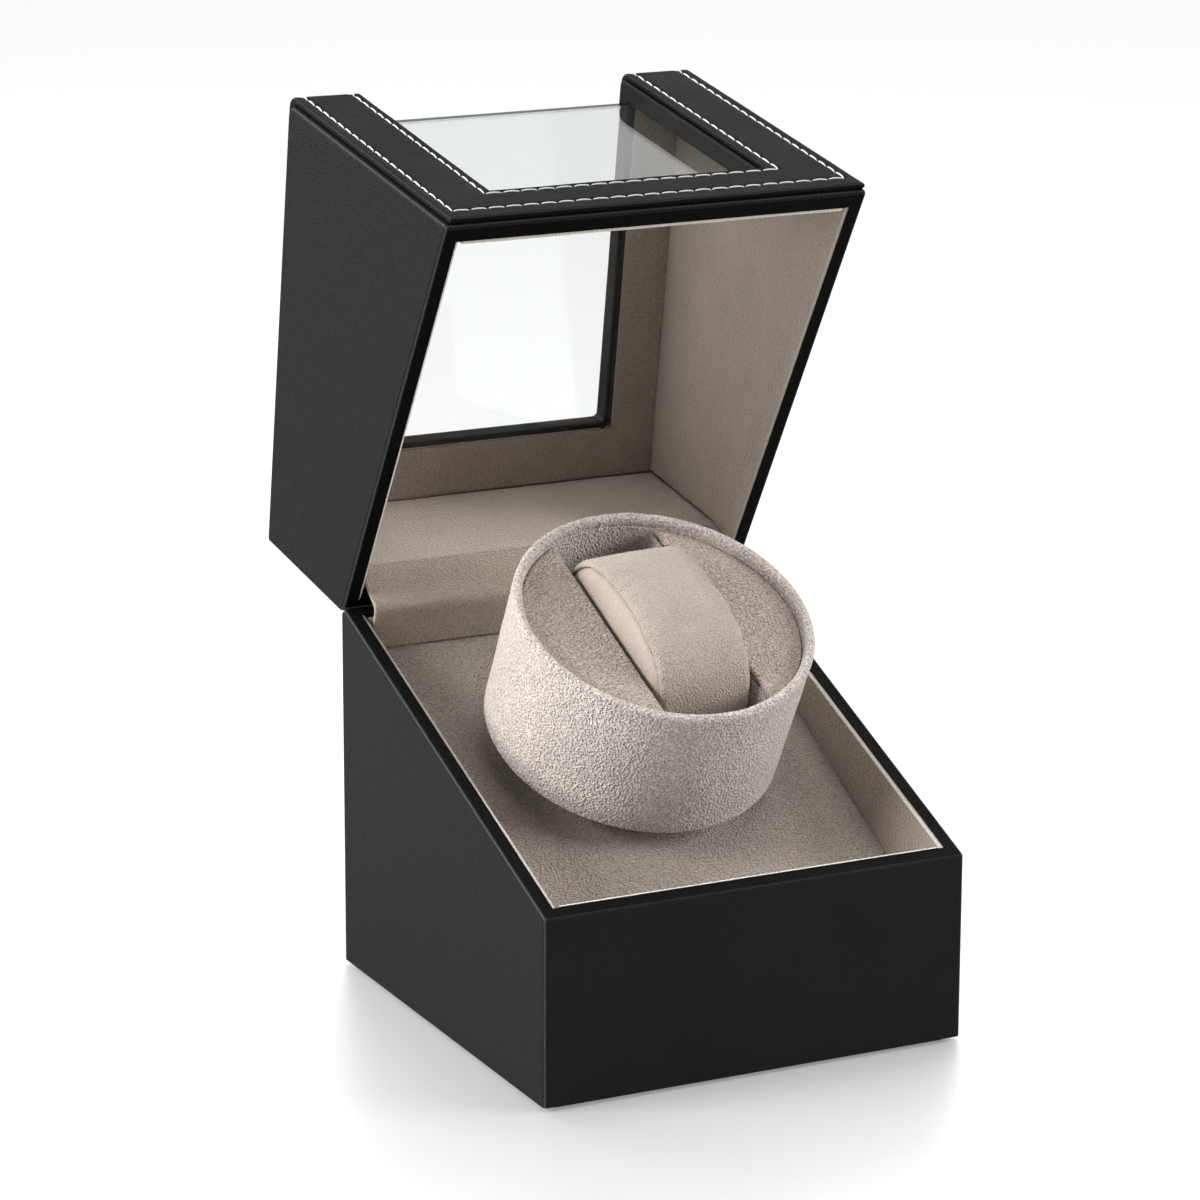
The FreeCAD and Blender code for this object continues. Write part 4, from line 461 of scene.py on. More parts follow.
# %% Helpers for grids
NEAR_AN_EDGE = (0.0, 0.04, 0.16, 0.36, 0.64, 1.0)


def grid_lines(low, high, step, roll, folds=()):
    """Lines from low to high, a step apart, and closer within a roll of each edge and fold."""
    needed = set()
    for edge in (low, high, *folds):
        for share in NEAR_AN_EDGE:
            for side in (-1, 1):
                spot = edge + side * share * roll
                if low - 1e-9 <= spot <= high + 1e-9:
                    needed.add(round(spot, 5))
    count = max(1, round((high - low) / step))
    for index in range(count + 1):
        spot = low + (high - low) * index / count
        if min(abs(spot - line) for line in needed) > 0.4 * step:
            needed.add(round(spot, 5))
    return sorted(needed)


def rolled(distance, roll):
    """How far a rounded edge has risen at a distance in from it."""
    inward = roll - min(max(distance, 0.0), roll)
    return math.sqrt(max(roll * roll - inward * inward, 0.0))


def waviness(spot, size_mm, height_mm):
    """The slight swell of hand-laid cloth, the same at every run."""
    return noise.noise(Vector(spot) / size_mm) * height_mm


print("lines of a 10 mm strip:", grid_lines(0, 10, 2.5, 1.0))

# %% Helpers that close a mesh and hang it on a body
def joined_rings(form, rings, round_again=False, open_rings=False):
    """Faces between each ring of points and the next."""
    last = rings[:1] if round_again else []
    for ring, after in zip(rings, rings[1:] + last):
        for index in range(len(ring) - 1 if open_rings else len(ring)):
            following = (index + 1) % len(ring)
            form.faces.new([ring[index], after[index], after[following], ring[following]])


def closed_mesh(form, name, turn_out=True, smooth=True):
    """Close a bmesh and give its mesh, with the faces turned outward and softly shaded."""
    if turn_out:
        bmesh.ops.recalc_face_normals(form, faces=form.faces)
    mesh = bpy.data.meshes.new(name)
    form.to_mesh(mesh)
    form.free()
    if smooth:
        mesh.shade_smooth()
    return mesh


def new_piece(name, mesh, material, body, slot, *replaced):
    """Put a mesh in the scene, riding on a body, instead of the construction's nodes that it replaces."""
    piece = bpy.data.objects.new(name, mesh)
    bpy.context.scene.collection.objects.link(piece)
    for one in material if isinstance(material, (list, tuple)) else [material]:
        mesh.materials.append(one)
    if body:
        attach(piece, body)
    if replaced:
        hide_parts(*replaced)
    return piece


print("mesh helpers ready")

# %% Helper that builds a sheet over a grid
def sheet_mesh(name, columns, rows, inside, height, place, skirt=((0.0, 0.0),)):
    """A mesh over the grid cells that are inside. Its open edges follow the skirt's (inset, height)."""
    form = bmesh.new()
    spots, crossings, inward = {}, {}, {}

    def crossing(i, j):
        if (i, j) not in crossings:
            u, v = columns[i], rows[j]
            vertex = form.verts.new(place(u, v, height(u, v)))
            crossings[i, j] = vertex
            spots[vertex] = (u, v)
        return crossings[i, j]

    for i in range(len(columns) - 1):
        for j in range(len(rows) - 1):
            if inside((columns[i] + columns[i + 1]) / 2, (rows[j] + rows[j + 1]) / 2):
                corners = ((0, 0), (1, 0), (1, 1), (0, 1))
                form.faces.new([crossing(i + a, j + b) for a, b in corners])
                for a, b in corners:
                    drift = inward.setdefault((i + a, j + b), Vector((0, 0)))
                    drift += Vector((1 - 2 * a, 1 - 2 * b))
    inward = {crossings[key]: Vector([(v > 0.5) - (v < -0.5) for v in drift])
              for key, drift in inward.items()}
    chains = {}
    for edge in [edge for edge in form.edges if edge.is_boundary]:
        for vertex in edge.verts:
            if vertex not in chains:
                chains[vertex] = [vertex]
                for inset, level in skirt:
                    u, v = Vector(spots[vertex]) + inset * inward[vertex]
                    chains[vertex].append(form.verts.new(place(u, v, level)))
        first, second = (chains[vertex] for vertex in edge.verts)
        for step in range(len(skirt)):
            form.faces.new([first[step], first[step + 1], second[step + 1], second[step]])
    return closed_mesh(form, name)


print("sheet helper ready")

# %% [markdown]
# ## The stitched cover: a band of leather that folds over the lid's edge
#
# The lid's front and roof carry a raised frame of padded leather, one sheet that bends over the edge
# between them and has the window cut through both. Modelling it bent would make every distance along it
# hard to give. It is drawn unrolled instead, with u across the lid and v along the sheet, and one
# function bends it over the edge. Stitch lines, holes and hems are then plain distances in a flat plan,
# just as on a leather worker's bench.

# %% The cover's plan
body_front, body_roof = -63.0, 154.2
cover_thick, cover_half = 2.0, 59.05
cover_low, cover_rear = 51.8, 61.8
bend = 1.5
front_run = body_roof - bend - cover_low
bend_run = math.pi / 2 * (bend + cover_thick)
cover_run = front_run + bend_run + cover_rear - (body_front + bend)
window = {"u": 39.8, "low": 18.4, "high": front_run + bend_run + 36.8 - (body_front + bend)}


def unrolled(u, v, height, where=SHUT_LID):
    """Bend a point of the flat plan over the lid's edge, height millimetres above the lid."""
    turn = min(max((v - front_run) / (bend + cover_thick), 0.0), math.pi / 2)
    y = body_front + bend - (bend + height) * math.cos(turn)
    z = body_roof - bend + (bend + height) * math.sin(turn)
    if v < front_run:
        z = cover_low + v
    if v > front_run + bend_run:
        y = body_front + bend + v - front_run - bend_run
    return where @ (Vector((u, y, z)) * MM)


print("cover: %.0f mm wide, %.0f mm along the sheet" % (2 * cover_half, cover_run))

# %% [markdown]
# ## Where the needle went
#
# Two rows of stitches run round the frame: one near its outer edge and one near the window. A stitch is
# about five millimetres long. The number of stitches on each side is a whole one, so that a hole falls
# in every corner, as a sewer would set it out.

# %% Stitch rows
stitch_length = 4.9
outer_row = (56.0, 5.6, cover_run - 3.1)
window_row = (42.2, 16.2, window["high"] + 2.4)
rows_of_stitches = []
for reach, low, high in (outer_row, window_row):
    corners = [(-reach, low), (reach, low), (reach, high), (-reach, high)]
    for first, second in zip(corners, corners[1:] + corners[:1]):
        length = math.dist(first, second)
        rows_of_stitches.append((first, second, round(length / stitch_length)))
print(sum(count for _, _, count in rows_of_stitches), "stitches in", len(rows_of_stitches), "rows")

# %% The cover's height over its plan
cover_roll = 0.6
row_dent, hole_dent, dent_reach = 0.28, 0.42, 2.5
undercut = ((0.0, 1.25), (0.12, 1.18), (0.0, 1.1), (0.08, 0.8), (0.9, 0.75), (0.9, 0.0))


def edge_of_cover(u, v):
    """Distance to the nearest edge of the frame, the outer one or the window's."""
    outer = min(cover_half - abs(u), v, cover_run - v)
    aside = max(abs(u) - window["u"], 0.0)
    along = max(window["low"] - v, v - window["high"], 0.0)
    return min(outer, math.hypot(aside, along))


def needle_dents(u, v):
    """How deep the thread has drawn the leather down, most at the holes."""
    depth = 0.0
    for (u1, v1), (u2, v2), count in rows_of_stitches:
        length = abs(u2 - u1) + abs(v2 - v1)
        along = abs(u - u1) if u1 != u2 else abs(v - v1)
        aside = abs(v - v1) if u1 != u2 else abs(u - u1)
        if aside > dent_reach:
            continue
        low, high = (min(u1, u2), max(u1, u2)) if u1 != u2 else (min(v1, v2), max(v1, v2))
        here = u if u1 != u2 else v
        past = max(low - here, here - high, 0.0)
        near = math.hypot(aside, past)
        to_hole = abs((along / length * count + 0.5) % 1 - 0.5) * length / count
        depth = max(depth, row_dent * math.exp(-(near / 0.7) ** 2))
        depth = max(depth, hole_dent * math.exp(-((near / 0.55) ** 2 + (to_hole / 0.6) ** 2)))
    return depth


def cover_height(u, v):
    flat = cover_thick - cover_roll + rolled(edge_of_cover(u, v), cover_roll)
    return flat - needle_dents(u, v) + waviness((u, v, 3.0), 16, 0.12)


def on_frame(u, v):
    return abs(u) > window["u"] or not window["low"] < v < window["high"]


columns = grid_lines(-cover_half, cover_half, 0.75, cover_roll, (-window["u"], window["u"]))
lines = grid_lines(0, cover_run, 0.75, cover_roll, (window["low"], window["high"]))
mesh = sheet_mesh("cover", columns, lines, on_frame, cover_height, unrolled, undercut)
cover = new_piece("cover", mesh, shaded_cover_leather, "lid", "leather_black", "stitched_cover")
print("cover:", len(cover.data.vertices), "points")

# %% [markdown]
# ## The thread
#
# Each visible stitch is a short length of twisted thread that comes up out of one hole, lies in a low
# arch on the leather and dives into the next. A tube with a tapering radius along seven points says all
# of that. They lean a little across the row, as they do when a saddler's needle goes through at a
# slant. All the stitches are one mesh, because hundreds of objects would make the file slow to handle.

# %% Stitches
def tube(form, points, radii, sides=8):
    """A closed tube through points given as vectors, in metres."""
    rings = []
    for index, (point, radius) in enumerate(zip(points, radii)):
        ahead = points[min(index + 1, len(points) - 1)] - points[max(index - 1, 0)]
        across = ahead.cross(Vector((0.3, 0.5, 0.8))).normalized()
        other = ahead.cross(across).normalized()
        rings.append([form.verts.new(point + radius * (math.cos(a) * across + math.sin(a) * other))
                      for a in (2 * math.pi * side / sides for side in range(sides))])
    joined_rings(form, rings)
    form.faces.new(rings[0][::-1])
    form.faces.new(rings[-1])


def stitch_row(form, first, second, count, chance):
    """The stitches from one corner of a row to the next. No two lie quite alike."""
    length = math.dist(first, second)
    across = (second[1] - first[1]) / length, (first[0] - second[0]) / length
    lean = 0.16 if abs(across[0]) > 0.5 else 0.34
    for index in range(count):
        start, end = (index + 0.03) / count, (index + 0.97) / count
        points, radii = [], []
        for step in range(9):
            share = step / 8
            along = start + (end - start) * share
            aside = lean * (share - 0.5) + chance.uniform(-0.03, 0.03)
            u = first[0] + (second[0] - first[0]) * along + across[0] * aside
            v = first[1] + (second[1] - first[1]) * along + across[1] * aside
            arch = math.sin(math.pi * share) ** 0.35
            points.append(unrolled(u, v, cover_thick - 0.45 + 0.45 * arch))
            radii.append((0.12 + 0.11 * arch) * MM)
        tube(form, points, radii)


form = bmesh.new()
chance = random.Random(7)
for first, second, count in rows_of_stitches:
    stitch_row(form, first, second, count, chance)
stitches = new_piece("cover_stitches", closed_mesh(form, "cover_stitches"), thread, "lid", "plastic_white")
print("stitches:", len(stitches.data.polygons), "faces")

# %% [markdown]
# ## The leather turned in at the windows
#
# The frame's leather is folded into the window opening and glued down the cut edge of the board, so the
# reveal round the glass is black. It is a ribbon: a loop round the opening, with rounded corners, whose
# cross-section rolls over the lip and runs down to the glass. At the lid's edge the outer line of the
# ribbon takes the bend while the inner line turns a square corner.

# %% Turned-in leather
pane_front, pane_roof = -58.0, 149.2
reveal = {"u": 39.0, "low": 71.0 - cover_low, "high": window["high"] - 0.8}


def reveal_loop(corner=1.6, step=1.5):
    """Points (u, v, inward u, inward v) round the opening."""
    loop = []
    middle = (reveal["low"] + reveal["high"]) / 2
    tall = (reveal["high"] - reveal["low"]) / 2
    places = [(1, -1, -90), (1, 1, 0), (-1, 1, 90), (-1, -1, 180)]
    for index, (side_u, side_v, begin) in enumerate(places):
        centre = (side_u * (reveal["u"] - corner), middle + side_v * (tall - corner))
        for turn in range(5):
            angle = math.radians(begin + 22.5 * turn)
            out = (math.cos(angle), math.sin(angle))
            loop.append((centre[0] + corner * out[0], centre[1] + corner * out[1], -out[0], -out[1]))
        after = places[(index + 1) % 4]
        goal = (after[0] * (reveal["u"] - corner), middle + after[1] * (tall - corner))
        reach = math.dist(centre, goal)
        out = (math.cos(math.radians(begin + 90)), math.sin(math.radians(begin + 90)))
        pieces = int(reach / step)
        for piece in range(1, pieces):
            share = piece / pieces
            loop.append((centre[0] + (goal[0] - centre[0]) * share + corner * out[0],
                         centre[1] + (goal[1] - centre[1]) * share + corner * out[1], -out[0], -out[1]))
    return loop


def reveal_spot(u, v, inward, depth):
    """A point of the ribbon, from 0 at the leather's face to 1 at the glass, or above the face."""
    outer = unrolled(u + inward[0], v + inward[1], 0.0, UPRIGHT) / MM
    inner = Vector((outer.x, max(outer.y, pane_front), min(outer.z, pane_roof)))
    above = unrolled(u + inward[0], v + inward[1], max(-depth, 0.0), UPRIGHT) / MM
    spot = above if depth < 0 else outer.lerp(inner, depth)
    return SHUT_LID @ (spot * MM)


form = bmesh.new()
lip = [(-0.8, -0.3), (-0.25, -0.3), (0.05, -0.15), (0.2, 0.02)] + [(0.25, share / 6) for share in range(1, 6)]
lip += [(0.22, 0.96), (0.1, 1.01), (-0.5, 1.01), (-1.3, 1.01), (-1.44, 1.04), (-1.46, 1.30)]
rings = [[form.verts.new(reveal_spot(u, v, (in_u * off, in_v * off), depth)) for off, depth in lip]
         for u, v, in_u, in_v in reveal_loop()]
joined_rings(form, rings, round_again=True, open_rings=True)
new_piece("window_turn_in", closed_mesh(form, "window_turn_in"), shaded_cover_leather, "lid", "leather_black")
print("turned-in leather:", len(rings), "cross-sections")

# %% [markdown]
# ## Suede linings
#
# Card covered in suede lines the well and the lid. Each lining is a sheet on the grid helper, given by
# the range that it spans, its lower and upper outline, and a function that stands it against its wall.
# The rolled edges catch the light along the box's rim, and the slight waviness keeps a large face from
# looking like painted board.

# %% The heights that the linings follow
shaft_y, shaft_top, rim_front = 12.8, 66.9, 51.2


def tray_height(y):
    return shaft_top + (y - shaft_y) * math.tan(tray_tilt)


def rim_height(y):
    return rim_front + (y + box_depth / 2) * rim_rise / box_depth


print("rim from %.0f to %.0f mm high" % (rim_height(-box_depth / 2), rim_height(box_depth / 2)))

# %% Helper for a lining
lip_run = 9.0


def lining(name, across, low, high, thick, stand, body, node, material=lining_suede, slot="suede_lining",
           opening=None, edge=None, roll=0.6, step=2.0, where=UPRIGHT, lip=None):
    """A soft-edged sheet from low(u) to high(u), thick off its wall.

    The lip thins it toward its low or high edge: which of them, and how thick it still is there.
    """
    first, last = across
    tall = high((first + last) / 2) - low((first + last) / 2)
    folds_u = (opening[0], opening[1]) if opening else ()
    folds_v = tuple((v - low(0)) / tall for v in opening[2:] if low(0) < v < high(0)) if opening else ()
    columns = grid_lines(first, last, step, roll, folds_u)
    lines = grid_lines(0, 1, step / tall, roll / tall, folds_v)

    def spot(u, share):
        return low(u) + share * (high(u) - low(u))

    def inside(u, share):
        v = spot(u, share)
        return not (opening and opening[0] < u < opening[1] and opening[2] < v < opening[3])

    def height(u, share):
        v = spot(u, share)
        distance = min(u - first, last - u, v - low(u), high(u) - v)
        if opening:
            aside = max(opening[0] - u, u - opening[1], 0.0)
            along = max(opening[2] - v, v - opening[3], 0.0)
            distance = min(distance, math.hypot(aside, along))
        if edge:
            distance = min(distance, edge(u, v))
        here = thick
        if lip:
            rise = min((v - low(u) if lip[0] == "low" else high(u) - v) / lip_run, 1.0)
            here = lip[1] + (thick - lip[1]) * rise * rise * (3 - 2 * rise)
        return here - roll + rolled(distance, roll) + waviness((u, v, thick + len(name)), 13, 0.10)

    def place(u, share, up):
        return where @ (Vector(stand(u, spot(u, share), up)) * MM)

    mesh = sheet_mesh(name, columns, lines, inside, height, place)
    return new_piece(name, mesh, material, body, slot, *([node] if node else []))


print("lining helper ready, its lip runs over", lip_run, "mm")

# %% Straight outlines, and the walls that linings stand on
def level(height):
    """An outline that runs straight across."""
    return lambda along: height


def on_side(side):
    """Stands a lining on the left wall, for -1, or on the right one, for 1."""
    return lambda y, z, up: (side * (inner_x - up), y, z)


def on_end(wall, way):
    """Stands a lining on a wall across the box, its face toward the front, for -1, or the rear, for 1."""
    return lambda x, z, up: (x, wall + way * up, z)


inner_x, inner_front, inner_rear = 56.25, -59.7, 59.0
both_sides = ((-1, "left"), (1, "right"))
print("inside %.1f wide and %.1f mm deep" % (2 * inner_x, inner_rear - inner_front))

# %% Linings of the well
face_x, front_foot, rear_foot = 54.35, -58.0, 56.5
box_lip = ("high", 1.25)


def well_top(y):
    return rim_height(y) - 0.5


# The side and front walls take a darker copy of the lining suede: painted shade.
for side, hand in both_sides:
    lining("well_lining_" + hand, (inner_front, inner_rear), tray_height, well_top, 1.9, on_side(side),
           "base", "base_side_linings", material=shaded_box_wall_suede, lip=box_lip)
lining("well_lining_front", (-face_x, face_x), level(tray_height(front_foot)), level(well_top(front_foot)),
       1.7, on_end(inner_front, 1), "base", "base_front_lining", material=shaded_box_wall_suede, lip=box_lip)
lining("well_lining_rear", (-face_x, face_x), level(tray_height(rear_foot)), level(well_top(rear_foot)),
       2.5, on_end(inner_rear, -1), "base", "base_rear_lining", material=shaded_suede, roll=0.9)
tray_run = (inner_rear - inner_front) / math.cos(tray_tilt)
tray_start = (inner_front - shaft_y) / math.cos(tray_tilt)
lining("tray_suede", (-inner_x, inner_x), level(tray_start), level(tray_start + tray_run), 1.0,
       lambda x, y, up: (x, y, up - 1.0), "base", "tray_lining", material=tray_suede, where=ON_TRAY, roll=0.4)
print("tray: %.0f mm of suede from front to rear" % tray_run)

# %% Linings of the lid
pad_front, pad_low, pane_inner_roof = 52.0, 106.2, 147.2
glass_half, glass_foot, glass_rear, far_off = 40.4, 69.6, 37.4, 999.0
lid_lip = ("low", 1.0)


def lid_low(y):
    return rim_height(y) + 0.9


# The lid's walls take a lighter copy of the lining suede: painted light.
for side, hand in both_sides:
    lining("lid_lining_" + hand, (pane_front, pad_front), lid_low, level(pane_roof), 1.9, on_side(side),
           "lid", "lid_side_linings", where=SHUT_LID, material=lit_lid_wall_suede, lip=lid_lip)
lining("lid_lining_front", (-face_x, face_x), level(lid_low(pane_front)), level(pane_inner_roof), 2.0,
       on_end(pane_front, 1), "lid", "lid_front_lining", where=SHUT_LID, material=lit_lid_wall_suede,
       opening=(-glass_half, glass_half, glass_foot, far_off), lip=("low", 1.1))
lining("lid_lining_roof", (-face_x, face_x), level(pane_front), level(pad_front), 2.0,
       lambda x, y, up: (x, y, pane_roof - up), "lid", "lid_top_lining", where=SHUT_LID,
       material=shaded_suede, opening=(-glass_half, glass_half, -far_off, glass_rear))
for side, hand in both_sides:
    lining("lid_lining_heel_" + hand, (pad_front - 0.1, inner_rear), lid_low, level(pad_low + 3.0), 1.9,
           on_side(side), "lid", None, where=SHUT_LID, material=lit_lid_wall_suede, lip=lid_lip)
print("lid lined round a window %.1f mm wide" % (2 * glass_half))

# %% Leather at the two ends of the hinge
flap_half = 54.0
# The strips take the cover's darker leather, so their blackness is partly painted shade where the hinge's ends lie
# in shadow.
strips = (("lid", "lid", lid_low(inner_rear), pad_low, SHUT_LID),
          ("box", "base", 96.0, rim_height(inner_rear), UPRIGHT))
for side, hand in both_sides:
    span = sorted((side * (flap_half - 3.5), side * inner_x))
    for part, body, low, high, where in strips:
        lining("hinge_corner_%s_%s" % (part, hand), span, level(low), level(high), 0.5,
               on_end(inner_rear, -1), body, None, material=shaded_cover_leather, slot="leather_black", roll=0.2,
               where=where)
print("hinge ends: leather %.2f mm wide" % (span[1] - span[0]))

# %% [markdown]
# ## The padded panel at the back of the lid
#
# Behind the drum the lid is lined by a thicker panel, foam under suede, with rounded edges. It is the
# same sheet again with a deeper roll, and a crown: the foam pushes the middle out by half a millimetre
# and the glued edges hold it down.

# %% Rear pad of the lid
pad_thick, pad_roll, pad_crown = 7.0, 2.2, 0.5
pad_columns = grid_lines(-inner_x, inner_x, 1.8, pad_roll)
pad_lines = grid_lines(pad_low, pane_roof, 1.8, pad_roll)


def pad_height(x, z):
    edge = min(inner_x - abs(x), z - pad_low, pane_roof - z)
    crown = pad_crown * (1 - (x / inner_x) ** 4) * math.sin(math.pi * (z - pad_low) / (pane_roof - pad_low))
    flat = pad_thick - pad_crown - pad_roll + rolled(edge, pad_roll)
    return flat + crown + waviness((x, z, 9.0), 18, 0.18)


mesh = sheet_mesh("lid_rear_cushion", pad_columns, pad_lines, lambda x, z: True, pad_height,
                  lambda x, z, up: SHUT_LID @ (Vector((x, inner_rear - up, z)) * MM))
# The pad takes a lighter copy of the lining suede: painted light.
pad = new_piece("lid_rear_cushion", mesh, lit_pad_suede, "lid", "suede_lining", "lid_rear_pad")
print("rear pad:", len(pad.data.vertices), "points")

# %% [markdown]
# ## The suede flap over the hinge
#
# A strip of suede hides the hinge: it rises in front of the rear lining, folds over a soft ridge and
# runs back to the lid's pad. Its foot stays with the box and its far end goes with the lid. It is drawn
# as a thin sheet along a smooth side outline, and hung on neither body. It is the one sheet here that
# is held only at its edges.

# %% Hinge flap
flap_outline = [Vector(point) for point in (
    (56.1, 90.3), (56.0, 92.4), (55.9, 94.6), (55.7, 96.5), (55.3, 98.3), (54.75, 99.9), (54.7, 101.2),
    (55.5, 102.3), (57.0, 103.4), (58.7, 104.7), (60.3, 106.3), (61.9, 107.9), (63.5, 109.0), (65.3, 110.0))]
cloth_edge, cloth_low = 0.5, 0.25


def along_outline(share):
    """A smooth curve through the outline's points, by Catmull and Rom's rule."""
    spot = min(max(share, 0.0), 0.99999) * (len(flap_outline) - 1)
    index = int(spot)
    a, b, c, d = [flap_outline[min(max(index + shift, 0), len(flap_outline) - 1)] for shift in (-1, 0, 1, 2)]
    t = spot - index
    return 0.5 * (2 * b + (c - a) * t + (2 * a - 5 * b + 4 * c - d) * t * t
                  + (3 * b - a - 3 * c + d) * t ** 3)


def flap_place(x, share, up):
    """A point of the flap, square off its outline, with a slight ripple in the middle of the run."""
    here = along_outline(share)
    ahead = along_outline(share + 0.01) - along_outline(share - 0.01)
    out = Vector((-ahead.y, ahead.x)).normalized()
    ripple = waviness((x, share * 20, 5.0), 7, 0.35) * math.sin(math.pi * share)
    spot = here + out * (up + ripple)
    return Vector((x, spot.x, spot.y)) * MM


def flap_height(x, share):
    return cloth_low + rolled(min(flap_half - abs(x), cloth_edge), cloth_edge)


flap_columns, flap_lines = grid_lines(-flap_half, flap_half, 1.5, cloth_edge), grid_lines(0, 1, 0.025, 0.02)
mesh = sheet_mesh("hinge_cloth", flap_columns, flap_lines, lambda x, share: True, flap_height, flap_place)
flap = new_piece("hinge_cloth", mesh, lining_suede, None, "suede_lining", "hinge_flap")
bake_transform(flap)

# %% [markdown]
# ## The suede drum
#
# The drum is a plastic cup wrapped in pale suede, which is turned in over the rim. A profile spun round
# the axis gives it, and a shallow groove down the back is the seam where the two ends of the wrap meet.
# The nap itself is left to the material.

# %% Wrap of the drum
def turned_mesh(name, profile, steps, shift):
    """Spin a profile of (radius, height) round the drum's axis, moved out by shift(angle, height)."""
    form = bmesh.new()
    rings = []
    for index in range(steps):
        angle = 2 * math.pi * index / steps
        ring = []
        for radius, height in profile:
            out = radius + shift(angle, height)
            spot = Vector((out * math.cos(angle), out * math.sin(angle), height))
            ring.append(form.verts.new(ON_DRUM @ (spot * MM)))
        rings.append(ring)
    joined_rings(form, rings, round_again=True, open_rings=True)
    return closed_mesh(form, name)


drum_low, drum_high = 7.3, 48.6
foot_roll, rim_roll = 0.7, 1.35
wrap_profile = [(38.6, drum_low), (39.1, drum_low)]
wrap_profile += [(39.1 + foot_roll * math.sin(a), drum_low + foot_roll * (1 - math.cos(a)))
                 for a in (math.pi / 8 * step for step in range(1, 5))]
wrap_profile += [(39.8 + 0.5 * step / 16, drum_low + foot_roll + (drum_high - rim_roll - drum_low - foot_roll)
                  * step / 16) for step in range(1, 17)]
wrap_profile += [(38.95 + rim_roll * math.cos(a), drum_high - rim_roll + rim_roll * math.sin(a))
                 for a in (math.pi / 12 * step for step in range(1, 13))]
wrap_profile += [(37.6, 46.4), (37.68, 45.9), (37.9, 45.7), (37.6, 45.4), (37.5, 44.2)]
seam_angle, seam_depth, seam_width = math.radians(90), 0.4, 0.45


def wrap_shift(angle, height):
    """The slight unevenness of the wrap, and the groove of its seam."""
    round_the_drum = (math.cos(angle) * 6, math.sin(angle) * 6, height / 6)
    seam = abs(math.remainder(angle - seam_angle, 2 * math.pi)) * 40
    return noise.noise(Vector(round_the_drum)) * 0.12 - seam_depth * math.exp(-(seam / seam_width) ** 2)


wrap = new_piece("drum_suede_wrap", turned_mesh("drum_suede_wrap", wrap_profile, 360, wrap_shift),
                 drum_suede, "drum", "suede_drum", "drum_wrap")
print("drum wrap:", len(wrap.data.vertices), "points")

# %% [markdown]
# ## The drum's two half faces and the slot between them
#
# Inside the rim lie two half-moon boards covered in the same suede, with the pillow's slot between them.
# They take a darker copy of it: painted shade on the recessed faces.
# The half moons are linings whose upper outline is a circle. The slot is lined like a drawer: one
# outline of straight sides and round ends, drawn smaller ring by ring as it turns into the floor.

# %% Half-moon faces
moon_radius, slot_half, face_top, face_thick = 37.4, 15.2, 45.4, 2.0
moon_reach = math.sqrt(moon_radius ** 2 - (slot_half + 0.5) ** 2)
for side, hand in both_sides:
    lining("drum_face_" + hand, (-moon_reach, moon_reach), level(slot_half),
           lambda y: math.sqrt(moon_radius ** 2 - y * y), face_thick,
           lambda y, x, up, side=side: (side * x, y, face_top - face_thick + up),
           "drum", "drum_faces", material=shaded_moon_suede, slot="suede_drum",
           edge=lambda y, x: moon_radius - math.hypot(x, y), roll=0.7, step=1.4, where=ON_DRUM)
print("two faces of radius", moon_radius, "mm")

# %% Lined slot
slot_floor, slot_radius, slot_turn = 17.2, 37.3, 2.0


def slot_outline(inset, ends=24, sides=30):
    """Points (x, y) round the slot, drawn in by an inset."""
    half, radius = slot_half - inset, slot_radius - inset
    reach = math.asin(half / radius)
    points = []
    for sign in (1, -1):
        for step in range(ends):
            angle = sign * math.pi / 2 + reach - 2 * reach * step / (ends - 1)
            points.append((radius * math.cos(angle), radius * math.sin(angle)))
        tall = radius * math.cos(reach)
        for step in range(1, sides):
            points.append((sign * half, sign * tall * (1 - 2 * step / sides)))
    return points


stations = [(0.0, height) for height in (face_top - 0.6, 38.0, 31.0, 25.0, slot_floor + slot_turn)]
stations += [(slot_turn * (1 - math.cos(a)), slot_floor + slot_turn * (1 - math.sin(a)))
             for a in (math.pi / 8 * step for step in range(1, 5))]
stations += [(5.0, slot_floor), (9.0, slot_floor), (13.0, slot_floor)]
form = bmesh.new()
rings = []
for inset, height in stations:
    rings.append([form.verts.new(ON_DRUM @ (Vector((x, y, height + waviness((x, y, height), 9, 0.15))) * MM))
                  for x, y in slot_outline(inset)])
joined_rings(form, rings)
form.faces.new(rings[-1][::-1])
mesh = closed_mesh(form, "slot_lining", turn_out=False)
new_piece("slot_lining", mesh, drum_suede, "drum", "suede_drum", "drum_slot_liner")
print("slot:", len(rings), "rings")

# %% [markdown]
# ## The pillow: a stuffed form under pressure
#
# The pillow is foam in a suede cover: two flat oval cheeks, joined by a band that rolls over the edge
# and meets them in a sewn groove. The groove and the roll are drawn first, as one closed form of
# nested ovals, and slightly too thin. Blender's cloth then blows it up from inside, which gives the
# tension between seam and stuffing that is hard to draw. The sim runs at ten times life size, because
# cloth is tuned for garments, and no point may travel more than a fraction of a millimetre.

# %% Outline of the pillow
pillow_length, pillow_height, pillow_end = 58.0, 39.6, 18.0
pillow_middle = slot_floor + 0.3 + pillow_height / 2
oval_points = 144


